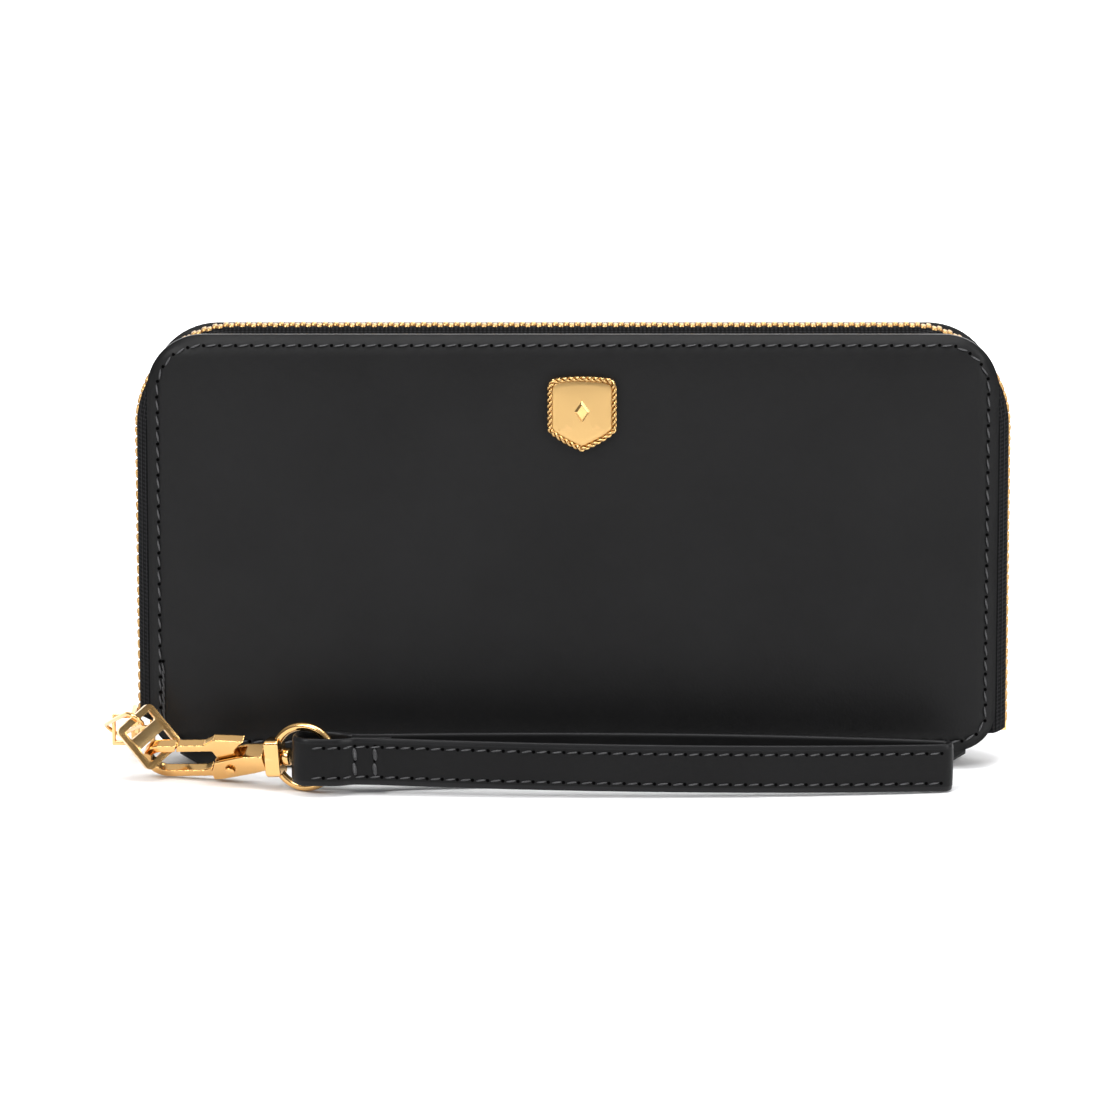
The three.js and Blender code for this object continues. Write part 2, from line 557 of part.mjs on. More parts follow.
// The hook: a thick body with a slot for the gate, and a thinner claw.
function hookBody() {
  const half = HOOK_THICKNESS / 2;
  const body = plate(hookOutline(), -half, half, CLAW_STEPS);
  const bodyStart = RIVET_X + THUMB_ROOT[1];
  const sides = [-1, 1].map((side) => {
    const faces = [side * (CLAW_THICKNESS / 2), side * (half + TOOL_OVERRUN)].sort((a, b) => a - b);
    const reach = HOOK_HALF_HEIGHT + TOOL_OVERRUN;
    return boxBetween(-HOOK_LENGTH - TOOL_OVERRUN, bodyStart, ...faces, -reach, reach);
  });
  const slotHalf = GATE_THICKNESS / 2 + RUNNING_GAP;
  const slotEnd = RIVET_X + GATE_SLOT_REACH;
  const slot = boxBetween(
    RIVET_X + THUMB_ROOT[1], slotEnd, -slotHalf, slotHalf,
    RIVET_Z - GATE_LUG_RADIUS - RUNNING_GAP, HOOK_HALF_HEIGHT + TOOL_OVERRUN);
  const bore = rodAlongY(
    RIVET_RADIUS + RUNNING_GAP, -half - TOOL_OVERRUN, half + TOOL_OVERRUN, RIVET_X, RIVET_Z);
  const neck = -BLOCK_LENGTH / 2 - RUNNING_GAP;
  const seat = rodAlongX(
    SWIVEL_PIN_RADIUS + TOUCH_GAP, neck - SWIVEL_PIN_SEAT - TOUCH_GAP, neck + TOOL_OVERRUN);
  return piece("hook_body", cut(body, ...sides, slot, bore, seat), gold());
}

// The sprung gate with its thumb lever and the lug that turns on the rivet.
function hookGate() {
  const h = HOOK_HALF_HEIGHT;
  const inner = h - GATE_BAND;
  const outline = new THREE.Shape();
  outline.moveTo(GATE_JOINT, h);
  outline.lineTo(GATE_JOINT - JOINT_SLANT, inner);
  outline.lineTo(RIVET_X + MOUTH_STEP[0][0], inner);
  outline.lineTo(RIVET_X - GATE_LUG_RADIUS, RIVET_Z);
  outline.absarc(RIVET_X, RIVET_Z, GATE_LUG_RADIUS, Math.PI, 2 * Math.PI, false);
  outline.lineTo(RIVET_X + GATE_LUG_RADIUS, inner);
  THUMB_TIP.forEach(([x, z]) => outline.lineTo(RIVET_X + x, h + z));
  outline.lineTo(RIVET_X + THUMB_ROOT[0], h + THUMB_HEIGHT);
  outline.lineTo(RIVET_X + THUMB_ROOT[1], h);
  const gate = plate(outline, -GATE_THICKNESS / 2, GATE_THICKNESS / 2, CLAW_STEPS);
  const bore = rodAlongY(
    RIVET_RADIUS + RUNNING_GAP, -GATE_THICKNESS, GATE_THICKNESS, RIVET_X, RIVET_Z);
  return piece("hook_gate", cut(gate, bore), gold());
}

// The rivet that the gate turns on, with a head on each side of the hook.
function gateRivet() {
  const half = HOOK_THICKNESS / 2 + TOUCH_GAP;
  const shaft = rodAlongY(RIVET_RADIUS, -half - OVERLAP, half + OVERLAP, RIVET_X, RIVET_Z);
  const heads = [-1, 1].map((side) => {
    const [near, far] = [side * half, side * (half + RIVET_HEAD_HEIGHT)].sort((a, b) => a - b);
    return rodAlongY(RIVET_HEAD_RADIUS, near, far, RIVET_X, RIVET_Z);
  });
  return piece("gate_rivet", join(shaft, ...heads), gold());
}

// The leaf that pushes the gate shut, on the floor of the hook's slot.
function gateSpring() {
  const half = GATE_THICKNESS / 2 - SPRING_PLAY;
  const x0 = RIVET_X + GATE_LUG_RADIUS + RUNNING_GAP;
  const z0 = RIVET_Z - GATE_LUG_RADIUS;
  const leaf = boxBetween(x0, x0 + SPRING_LENGTH, -half, half, z0, z0 + SPRING_HEIGHT);
  return piece("gate_spring", leaf, gold());
}

// The headed pin that the ring swivels on.
function swivelPin() {
  const neck = -BLOCK_LENGTH / 2 - RUNNING_GAP;
  const head = BLOCK_LENGTH / 2 + RUNNING_GAP;
  const shaft = rodAlongX(SWIVEL_PIN_RADIUS, neck - SWIVEL_PIN_SEAT, head + OVERLAP, FINE_SIDES);
  const cap = rodAlongX(SWIVEL_HEAD_RADIUS, head, head + SWIVEL_HEAD_LENGTH, FINE_SIDES);
  return piece("swivel_pin", join(shaft, cap), gold());
}

// The round ring with the block that the pin runs through. Its middle is the ring's centre.
function swivelRing() {
  const wire = new THREE.TorusGeometry(RING_RADIUS, RING_WIRE_RADIUS, WIRE_SIDES, RING_STEPS);
  wire.rotateX(Math.PI / 2);
  const half = BLOCK_LENGTH / 2;
  const block = boxBetween(
    -RING_RADIUS - half, -RING_RADIUS + half, -BLOCK_DEPTH / 2, BLOCK_DEPTH / 2,
    -BLOCK_HEIGHT / 2, BLOCK_HEIGHT / 2);
  const bore = rodAlongX(
    SWIVEL_PIN_RADIUS + RUNNING_GAP, -RING_RADIUS - BLOCK_LENGTH, -RING_RADIUS + BLOCK_LENGTH, FINE_SIDES);
  const room = rodAlongX(SWIVEL_HEAD_RADIUS + RUNNING_GAP, -RING_RADIUS + half, 0, FINE_SIDES);
  const ring = piece("swivel_ring", cut(join(wire, block), bore, room), gold());
  ring.quaternion.copy(ringTurn);
  ring.position.copy(ringCentre);
  return ring;
}

// The wrist strap seen from above: a fold round the ring's wire, a sewn stretch and a long loop.
function strapOutline() {
  const fold = STRAP_FOLD_HALF_GAP + STRAP_LEATHER;
  const foldStart = -STRAP_FOLD_REACH;
  const sewnHalf = STRAP_SEWN_HALF;
  const endX = STRAP_LENGTH - STRAP_END_LENGTH;
  const middle = STRAP_LENGTH * STRAP_BOW_PLACE;
  const bow = 2 * STRAP_LOOP_HALF - STRAP_END_HALF;
  const outline = new THREE.Shape();
  outline.moveTo(foldStart + fold, -fold);
  outline.lineTo(STRAP_SEWN_START, -fold);
  outline.lineTo(STRAP_SEWN_START + STRAP_TAPER, -sewnHalf);
  outline.lineTo(STRAP_SEWN_END, -sewnHalf);
  outline.quadraticCurveTo(middle, -bow, endX, -STRAP_END_HALF);
  outline.absarc(endX, 0, STRAP_END_HALF, -Math.PI / 2, Math.PI / 2, false);
  outline.quadraticCurveTo(middle, bow, STRAP_SEWN_END, sewnHalf);
  outline.lineTo(STRAP_SEWN_START + STRAP_TAPER, sewnHalf);
  outline.lineTo(STRAP_SEWN_START, fold);
  outline.lineTo(foldStart + fold, fold);
  outline.absarc(foldStart + fold, 0, fold, Math.PI / 2, 1.5 * Math.PI, false);

  const gap = STRAP_FOLD_HALF_GAP;
  const pocket = new THREE.Path();
  pocket.moveTo(foldStart + fold, -gap);
  pocket.absarc(foldStart + fold, 0, gap, 1.5 * Math.PI, Math.PI / 2, true);
  pocket.lineTo(STRAP_SEWN_START, gap);
  pocket.lineTo(STRAP_SEWN_START, -gap);
  outline.holes.push(pocket);

  const inside = bow - 2 * STRAP_LEATHER;
  const endHalf = STRAP_END_HALF - STRAP_LEATHER;
  const hollow = new THREE.Path();
  hollow.moveTo(STRAP_SEWN_END + 1, -sewnHalf + STRAP_LEATHER);
  hollow.quadraticCurveTo(middle, -inside, endX, -endHalf);
  hollow.absarc(endX, 0, endHalf, -Math.PI / 2, Math.PI / 2, false);
  hollow.quadraticCurveTo(middle, inside, STRAP_SEWN_END + 1, sewnHalf - STRAP_LEATHER);
  outline.holes.push(hollow);
  return outline;
}

// The wrist strap, standing on its edge with the ring's wire in its fold.
function wristStrap() {
  const options = { depth: STRAP_WIDTH, bevelEnabled: false, curveSegments: STRAP_STEPS };
  const loop = new THREE.ExtrudeGeometry(strapOutline(), options).translate(0, 0, -STRAP_WIDTH / 2);
  const strap = piece("wrist_strap", loop, leather());
  const turn = THREE.MathUtils.degToRad(STRAP_TURN);
  const droop = THREE.MathUtils.degToRad(STRAP_DROOP);
  strap.rotation.set(0, droop, turn, "ZYX");
  strap.position.copy(ringCentre).addScaledVector(claspAlong, RING_RADIUS);
  strap.position.z = ringCentre.z;
  return strap;
}

// The badge's shield, some way within its outer edge.
function shieldOutline(inset) {
  const half = BADGE_WIDTH / 2 - inset;
  const top = BADGE_HEIGHT / 2 - inset;
  const edge = top - BADGE_TOP_SWELL;
  const corner = BADGE_TOP_CORNER;
  const shoulder = -BADGE_HEIGHT * BADGE_SHOULDER;
  const tip = -BADGE_HEIGHT / 2 + inset;
  const outline = new THREE.Shape();
  outline.moveTo(0, tip);
  outline.quadraticCurveTo(half * 0.75, tip + BADGE_TIP_BOW, half, shoulder);
  outline.lineTo(half, edge - corner);
  outline.quadraticCurveTo(half, edge, half - corner, edge);
  outline.quadraticCurveTo(0, top + BADGE_TOP_SWELL, -half + corner, edge);
  outline.quadraticCurveTo(-half, edge, -half, edge - corner);
  outline.lineTo(-half, shoulder);
  outline.quadraticCurveTo(-half * 0.75, tip + BADGE_TIP_BOW, 0, tip);
  return outline;
}

// The badge, whose rope frame and plate both lie on the front cover.
function badge() {
  const group = new THREE.Group();
  group.position.set(BADGE_X, 0, panelTop - BADGE_DROP);
  const back = -halfDepth - TOUCH_GAP;
  const frameOutline = shieldOutline(0);
  frameOutline.holes.push(shieldOutline(BADGE_FRAME));
  group.add(piece("badge_rope_frame", plate(frameOutline, back - BADGE_FRAME_DEPTH, back, 5), gold()));
  const face = shieldOutline(BADGE_FRAME + BADGE_SEAT_GAP);
  group.add(piece("badge_plate", plate(face, back - BADGE_PLATE_DEPTH, back, 5), gold()));
  return group;
}

// The whole wallet
const wallet = new THREE.Group();
wallet.add(spine());
wallet.add(zipStop());
wallet.add(walletHalf("back", 1));
wallet.add(walletHalf("front", -1));
wallet.add(badge());
wallet.add(coinPocket());
wallet.add(mainSlider());
wallet.add(pullLink());
wallet.add(pullTab());
const clasp = new THREE.Group();
clasp.quaternion.copy(claspTurn);
clasp.position.copy(blockCentre);
clasp.add(hookBody(), hookGate(), gateRivet(), gateSpring(), swivelPin());
wallet.add(clasp);
wallet.add(swivelRing());
wallet.add(wristStrap());

export default wallet;
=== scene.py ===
"""Looks of a long zip-around wallet with a wrist strap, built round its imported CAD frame."""

import logging
import math
from dataclasses import dataclass, field
from enum import Enum
from typing import Iterable, Sequence

import bmesh
import bpy
from mathutils import Matrix, Vector


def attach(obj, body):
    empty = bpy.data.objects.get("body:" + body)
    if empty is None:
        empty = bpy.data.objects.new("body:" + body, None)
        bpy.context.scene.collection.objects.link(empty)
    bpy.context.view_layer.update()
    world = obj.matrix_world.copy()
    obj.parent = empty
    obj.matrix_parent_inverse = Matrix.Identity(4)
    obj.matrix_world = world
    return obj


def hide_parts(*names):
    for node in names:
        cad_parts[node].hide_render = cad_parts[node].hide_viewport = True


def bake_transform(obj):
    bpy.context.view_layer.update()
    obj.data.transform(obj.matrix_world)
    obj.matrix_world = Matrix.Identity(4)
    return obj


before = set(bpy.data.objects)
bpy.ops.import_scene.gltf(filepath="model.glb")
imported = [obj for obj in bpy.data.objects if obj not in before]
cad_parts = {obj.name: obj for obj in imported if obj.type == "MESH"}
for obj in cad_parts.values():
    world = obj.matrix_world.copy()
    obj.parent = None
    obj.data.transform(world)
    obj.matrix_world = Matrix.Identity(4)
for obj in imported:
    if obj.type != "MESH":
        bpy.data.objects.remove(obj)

LOG = logging.getLogger("wallet")
MM = 0.001
NEAR = 1e-4  # two places closer than this count as one
Point = tuple[float, float]


class Slot(Enum):
    """Material slots of the wallet's record."""

    LEATHER = "leather"
    LINING = "lining"
    TAPE = "zip_tape"
    GOLD = "gold_metal"
    THREAD = "thread"
    EDGE = "edge_paint"


class Side(Enum):
    """The two halves of the wallet, by the sign of their Y."""

    FRONT = -1
    BACK = 1

    @property
    def title(self) -> str:
        """The half's name as the frame's nodes have it."""
        return self.name.lower()

    @property
    def body(self) -> str:
        """The body that the half's pieces ride on."""
        return self.title + "_half"


# ---------------------------------------------------------------- finishes


def make_group(title: str, inputs: Sequence[tuple[str, str, float]], outputs: Sequence[str]):
    """Starts a shader node group.

    Args:
        title: the group's name.
        inputs: name, socket type without its prefix, and default of each input.
        outputs: names of the float outputs.

    Returns:
        The node tree, its input node and its output node.
    """
    tree = bpy.data.node_groups.new(title, "ShaderNodeTree")
    for name, kind, default in inputs:
        socket = tree.interface.new_socket(name=name, in_out="INPUT", socket_type="NodeSocket" + kind)
        if kind == "Float":
            socket.default_value = default
    for name in outputs:
        tree.interface.new_socket(name=name, in_out="OUTPUT", socket_type="NodeSocketFloat")
    return tree, tree.nodes.new("NodeGroupInput"), tree.nodes.new("NodeGroupOutput")


class Shade:
    """Short ways to add and join nodes in one node tree."""

    def __init__(self, tree: bpy.types.NodeTree) -> None:
        """Keeps the tree that nodes are added to."""
        self.tree = tree

    def node(self, kind: str, **settings) -> bpy.types.Node:
        """Adds a node.

        Args:
            kind: the node's type without the ShaderNode prefix.
            settings: attributes of the node, or numbers for its inputs by name.

        Returns:
            The node.
        """
        made = self.tree.nodes.new("ShaderNode" + kind)
        for name, value in settings.items():
            if hasattr(made, name):
                setattr(made, name, value)
            else:
                made.inputs[name.replace("_", " ")].default_value = value
        return made

    def join(self, source: bpy.types.NodeSocket, target: bpy.types.NodeSocket) -> None:
        """Links one socket to another."""
        self.tree.links.new(source, target)

    def sum(self, operation: str, first, second) -> bpy.types.NodeSocket:
        """Adds a Math node.

        Args:
            operation: the Math node's operation.
            first: a socket or a number.
            second: a socket or a number.

        Returns:
            The node's output.
        """
        made = self.tree.nodes.new("ShaderNodeMath")
        made.operation = operation
        for index, value in enumerate((first, second)):
            if isinstance(value, (int, float)):
                made.inputs[index].default_value = value
            else:
                self.join(value, made.inputs[index])
        return made.outputs[0]


class SharedEffects:
    """The node groups that several finishes use."""

    def __init__(self) -> None:
        """Builds every group once."""
        self.grain = self._grain()
        self.weave = self._weave()
        self.handling = self._handling()

    @staticmethod
    def _grain() -> bpy.types.NodeTree:
        """Builds the pebbled grain of leather, with a height and a slow change of shade."""
        tree, start, end = make_group(
            "leather_grain", [("Vector", "Vector", 0), ("Scale", "Float", 1500)],
            ["Height", "Shade", "Crease"])
        shade = Shade(tree)
        cells = shade.node("TexVoronoi", feature="SMOOTH_F1")
        cells.inputs["Smoothness"].default_value = 0.6
        fine = shade.node("TexNoise", Detail=4.0, Roughness=0.65)
        slow = shade.node("TexNoise", Scale=26.0, Detail=3.0, Roughness=0.55)
        crease = shade.node("TexNoise", Scale=90.0, Detail=6.0, Roughness=0.7)
        for texture in (cells, fine, slow, crease):
            shade.join(start.outputs["Vector"], texture.inputs["Vector"])
        shade.join(start.outputs["Scale"], cells.inputs["Scale"])
        shade.join(shade.sum("MULTIPLY", start.outputs["Scale"], 0.55), fine.inputs["Scale"])
        pebbles = shade.sum("MULTIPLY", cells.outputs["Distance"], 0.7)
        height = shade.sum("ADD", pebbles, shade.sum("MULTIPLY", fine.outputs["Fac"], 0.6))
        shade.join(height, end.inputs["Height"])
        shade.join(slow.outputs["Fac"], end.inputs["Shade"])
        shade.join(crease.outputs["Fac"], end.inputs["Crease"])
        return tree

    @staticmethod
    def _weave() -> bpy.types.NodeTree:
        """Builds crossing threads, with their height and how deep a point lies between them."""
        tree, start, end = make_group(
            "weave", [("Vector", "Vector", 0), ("Threads", "Float", 330)], ["Height", "Depth"])
        shade = Shade(tree)
        waves = []
        for direction in ("X", "Y", "Z"):
            wave = shade.node("TexWave", wave_type="BANDS", bands_direction=direction)
            wave.inputs["Distortion"].default_value = 0.25
            wave.inputs["Detail"].default_value = 1.0
            wave.inputs["Detail Scale"].default_value = 3.0
            shade.join(start.outputs["Vector"], wave.inputs["Vector"])
            shade.join(start.outputs["Threads"], wave.inputs["Scale"])
            waves.append(wave.outputs["Fac"])
        across = shade.sum("MULTIPLY", shade.sum("MAXIMUM", waves[0], waves[2]), waves[1])
        along = shade.sum("MULTIPLY", shade.sum("MULTIPLY", waves[0], waves[2]), 0.6)
        height = shade.sum("ADD", across, along)
        shade.join(height, end.inputs["Height"])
        shade.join(shade.sum("SUBTRACT", 1.0, height), end.inputs["Depth"])
        return tree

    @staticmethod
    def _handling() -> bpy.types.NodeTree:
        """Builds wear on edges and faint smears from handling."""
        tree, start, end = make_group(
            "handling", [("Vector", "Vector", 0), ("Spread", "Float", 0.54)], ["Wear", "Smears"])
        shade = Shade(tree)
        edge = shade.node("NewGeometry")
        patch = shade.node("TexNoise", Scale=420.0, Detail=5.0, Roughness=0.7)
        smear = shade.node("TexNoise", Scale=140.0, Detail=6.0, Roughness=0.6, Distortion=0.8)
        for texture in (patch, smear):
            shade.join(start.outputs["Vector"], texture.inputs["Vector"])
        over = shade.sum("SUBTRACT", edge.outputs["Pointiness"], start.outputs["Spread"])
        raised = shade.sum("MINIMUM", shade.sum("MULTIPLY", shade.sum("MAXIMUM", over, 0.0), 14.0), 1.0)
        shade.join(shade.sum("MULTIPLY", raised, patch.outputs["Fac"]), end.inputs["Wear"])
        shade.join(smear.outputs["Fac"], end.inputs["Smears"])
        return tree


@dataclass(frozen=True)
class Finish:
    """A surface finish, with what all finishes share."""

    slot: Slot
    title: str
    colour: tuple[float, float, float]
    roughness: float = 0.5
    spread: float = 0.12
    metallic: float = 0.0

    def start(self) -> tuple[bpy.types.Material, Shade, bpy.types.Node, bpy.types.Node]:
        """Starts the material.

        Returns:
            The material, its node helper, its shader and its texture coordinates.
        """
        material = bpy.data.materials.new(self.title)
        material.use_nodes = True
        shade = Shade(material.node_tree)
        shader = material.node_tree.nodes["Principled BSDF"]
        shader.inputs["Metallic"].default_value = self.metallic
        material.diffuse_color = (*self.colour, 1.0)
        return material, shade, shader, shade.node("TexCoord")

    def tint(self, shade: Shade, shader: bpy.types.Node, mask: bpy.types.NodeSocket,
             low: float, high: float) -> None:
        """Varies the base colour by a mask, from low times the colour to high times it."""
        ramp = shade.node("ValToRGB")
        ramp.color_ramp.elements[0].position = 0.25
        ramp.color_ramp.elements[1].position = 0.75
        ramp.color_ramp.elements[0].color = (*[min(1.0, c * low) for c in self.colour], 1)
        ramp.color_ramp.elements[1].color = (*[min(1.0, c * high) for c in self.colour], 1)
        shade.join(mask, ramp.inputs["Fac"])
        shade.join(ramp.outputs["Color"], shader.inputs["Base Color"])

    def gloss(self, shade: Shade, shader: bpy.types.Node, mask: bpy.types.NodeSocket) -> None:
        """Varies the roughness round its middle value by a mask."""
        turned = shade.sum("MULTIPLY", shade.sum("SUBTRACT", mask, 0.5), 2 * self.spread)
        shade.join(shade.sum("ADD", turned, self.roughness), shader.inputs["Roughness"])

    @staticmethod
    def relief(shade: Shade, shader: bpy.types.Node, height: bpy.types.NodeSocket,
               depth_mm: float, strength: float) -> None:
        """Feeds a height in millimetres to the shader's normal."""
        bump = shade.node("Bump")
        bump.inputs["Strength"].default_value = strength
        bump.inputs["Distance"].default_value = depth_mm * MM
        shade.join(height, bump.inputs["Height"])
        shade.join(bump.outputs["Normal"], shader.inputs["Normal"])


@dataclass(frozen=True)
class LeatherFinish(Finish):
    """Dyed smooth leather with a fine grain."""

    grain: float = 1500.0
    relief_mm: float = 0.09
    strength: float = 0.35
    specular: float = 0.15

    def material(self, effects: SharedEffects) -> bpy.types.Material:
        """Builds the leather's material from the shared effects."""
        material, shade, shader, place = self.start()
        grain = shade.node("Group")
        grain.node_tree = effects.grain
        grain.inputs["Scale"].default_value = self.grain
        shade.join(place.outputs["Object"], grain.inputs["Vector"])
        self.tint(shade, shader, grain.outputs["Shade"], 0.82, 1.22)
        self.gloss(shade, shader, grain.outputs["Crease"])
        self.relief(shade, shader, grain.outputs["Height"], self.relief_mm, self.strength)
        shader.inputs["Specular IOR Level"].default_value = self.specular
        return material


@dataclass(frozen=True)
class MetalFinish(Finish):
    """Polished plating with faint smears and softly worn edges."""

    worn: tuple[float, float, float] = (0.90, 0.66, 0.33)

    def material(self, effects: SharedEffects) -> bpy.types.Material:
        """Builds the plating's material from the shared effects."""
        material, shade, shader, place = self.start()
        wear = shade.node("Group")
        wear.node_tree = effects.handling
        shade.join(place.outputs["Object"], wear.inputs["Vector"])
        mix = shade.node("Mix", data_type="RGBA")
        for socket in mix.inputs:
            if socket.type == "RGBA":
                socket.default_value = (*(self.colour if socket.name == "A" else self.worn), 1)
        shade.join(wear.outputs["Wear"], mix.inputs["Factor"])
        shade.join(next(s for s in mix.outputs if s.type == "RGBA"), shader.inputs["Base Color"])
        self.gloss(shade, shader, wear.outputs["Smears"])
        self.relief(shade, shader, wear.outputs["Smears"], 0.02, 0.2)
        return material


@dataclass(frozen=True)
class WovenFinish(Finish):
    """Woven tape or twisted thread."""

    threads: float = 330.0
    relief_mm: float = 0.12
    specular: float = 0.04

    def material(self, effects: SharedEffects) -> bpy.types.Material:
        """Builds the cloth's material from the shared effects."""
        material, shade, shader, place = self.start()
        weave = shade.node("Group")
        weave.node_tree = effects.weave
        weave.inputs["Threads"].default_value = self.threads
        shade.join(place.outputs["Object"], weave.inputs["Vector"])
        # Painted shade: the base colour is darker where the weave lies low between threads and lighter on
        # the crests.
        self.tint(shade, shader, weave.outputs["Height"], 0.5, 1.5)
        self.gloss(shade, shader, weave.outputs["Depth"])
        self.relief(shade, shader, weave.outputs["Height"], self.relief_mm, 0.6)
        shader.inputs["Specular IOR Level"].default_value = self.specular
        return material


class Palette:
    """Every finish of the wallet, ready to put on."""

    finishes: tuple[Finish, ...] = (
        LeatherFinish(Slot.LEATHER, "black_leather", (0.0068, 0.0068, 0.0070), 0.46, 0.10),
        LeatherFinish(Slot.LINING, "lining_leather", (0.026, 0.025, 0.027), 0.62, 0.08, grain=2300.0),
        LeatherFinish(Slot.EDGE, "edge_paint", (0.010, 0.010, 0.0105), 0.34, 0.06, grain=500.0,
                      relief_mm=0.03),
        WovenFinish(Slot.TAPE, "woven_tape", (0.0085, 0.0085, 0.009), 0.85, 0.10),
        WovenFinish(Slot.THREAD, "waxed_thread", (0.058, 0.058, 0.060), 0.45, 0.10, threads=900.0,
                    specular=0.3),
        MetalFinish(Slot.GOLD, "gold_plating", (0.80, 0.49, 0.19), 0.17, 0.08, metallic=1.0),
    )

    # Painted shade: the strap is the same black leather as the covers, given a darker colour to stand in for
    # how it is lit.
    strap_leather = LeatherFinish(Slot.LEATHER, "strap_leather", (0.0050, 0.0050, 0.0052), 0.42, 0.10,
                                  specular=0.14)
    satin_gold = MetalFinish(Slot.GOLD, "satin_plating", (0.60, 0.385, 0.155), 0.36, 0.05, metallic=1.0,
                             worn=(0.70, 0.44, 0.19))
    # Painted shade: a much darker copy of the gold plating for the zip teeth, holding back the glare on
    # their lit tops; its higher roughness gives a satin finish.
    shaded_tooth_gold = MetalFinish(Slot.GOLD, "shaded_tooth_gold", (0.36, 0.205, 0.072), 0.36, 0.06, metallic=1.0,
                              worn=(0.62, 0.40, 0.17))
    # Painted shade: a darker copy of the gold plating for the badge's rope, standing in for the shade
    # between its twisted strands.
    shaded_rope_gold = MetalFinish(Slot.GOLD, "shaded_rope_gold", (0.50, 0.31, 0.12), 0.24, 0.06, metallic=1.0,
                            worn=(0.70, 0.47, 0.22))
    # Painted shade: near-black discs at the stitch ends stand for the shade inside the needle holes.
    needle_hole_shade = LeatherFinish(Slot.EDGE, "needle_hole_shade", (0.0012, 0.0012, 0.0012), 0.95, 0.0,
                                relief_mm=0.0, specular=0.0)

    def __init__(self) -> None:
        """Builds the materials from one set of shared effects."""
        effects = SharedEffects()
        self.materials = {finish.slot: finish.material(effects) for finish in self.finishes}
        self.special = {finish.title: finish.material(effects)
                        for finish in (self.strap_leather, self.satin_gold, self.shaded_tooth_gold, self.shaded_rope_gold,
                                       self.needle_hole_shade)}

    def dress(self, piece: bpy.types.Object, *slots: Slot, special: Finish | None = None) -> None:
        """Gives a piece its materials.

        Args:
            piece: the finished piece.
            slots: the piece's slots; the first is its main one.
            special: a finish that takes the main slot's usual one's place.
        """
        finishes = [self.materials[slot] for slot in slots]
        if special is not None:
            finishes[0] = self.special[special.title]
        worn = piece.data.materials
        for index, material in enumerate(finishes):
            if index < len(worn):
                worn[index] = material
            else:
                worn.append(material)


# ---------------------------------------------------------------- workshop tools


def finish_mesh(name: str, bm: bmesh.types.BMesh, recalculate: bool = True) -> bpy.types.Object:
    """Turns a bmesh drawn in millimetres into an object in metres.

    Args:
        name: the piece's name.
        bm: the drawn mesh, freed here.
        recalculate: whether its normals are made to point outwards.

    Returns:
        The object, at the origin.
    """
    bmesh.ops.scale(bm, vec=(MM, MM, MM), verts=bm.verts)
    if recalculate:
        bmesh.ops.recalc_face_normals(bm, faces=bm.faces)
    mesh = bpy.data.meshes.new(name)
    bm.to_mesh(mesh)
    bm.free()
    mesh.shade_smooth()
    piece = bpy.data.objects.new(name, mesh)
    bpy.context.scene.collection.objects.link(piece)
    return piece


def round_edges(piece: bpy.types.Object, width: float, segments: int = 3, angle: float = 32) -> None:
    """Adds a live bevel to the edges that are sharper than an angle.

    Args:
        piece: the piece.
        width: the bevel's width in millimetres.
        segments: how many faces it has across.
        angle: the least angle in degrees.
    """
    bevel = piece.modifiers.new("rounded", "BEVEL")
    bevel.width = width * MM
    bevel.segments = segments
    bevel.limit_method = "ANGLE"
    bevel.angle_limit = math.radians(angle)
    bevel.harden_normals = True


def softened(node: str, body: str, palette: Palette, width: float, segments: int = 3,
             cast: bool = False) -> bpy.types.Object:
    """Makes a metal piece from a frame node's shape, with its edges rounded.

    Args:
        node: the frame's node.
        body: the body it rides on.
        palette: the finishes.
        width: how far the edges are rounded, in millimetres.
        segments: how many faces a rounded edge has.
        cast: whether the whole shape is smoothed as a cast and tumbled piece is.

    Returns:
        The piece that stands for the node.
    """
    bm = bmesh.new()
    bm.from_mesh(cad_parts[node].data)
    bmesh.ops.remove_doubles(bm, verts=bm.verts, dist=2e-6)
    bmesh.ops.dissolve_limit(bm, angle_limit=math.radians(1.0), verts=bm.verts, edges=bm.edges)
    bmesh.ops.scale(bm, vec=(1 / MM,) * 3, verts=bm.verts)
    piece = finish_mesh("polished_" + node, bm, recalculate=False)
    if width > 0:
        round_edges(piece, width, segments)
    if cast:
        skin = piece.modifiers.new("cast skin", "REMESH")
        skin.mode = "VOXEL"
        skin.voxel_size = 0.17 * MM
        skin.use_smooth_shade = True
        smooth = piece.modifiers.new("tumbled", "SMOOTH")
        smooth.factor = 0.5
        smooth.iterations = 7
    palette.dress(piece, Slot.GOLD)
    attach(piece, body)
    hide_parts(node)
    LOG.info("%s from the frame, edges rounded by %.2f mm", piece.name, width)
    return piece


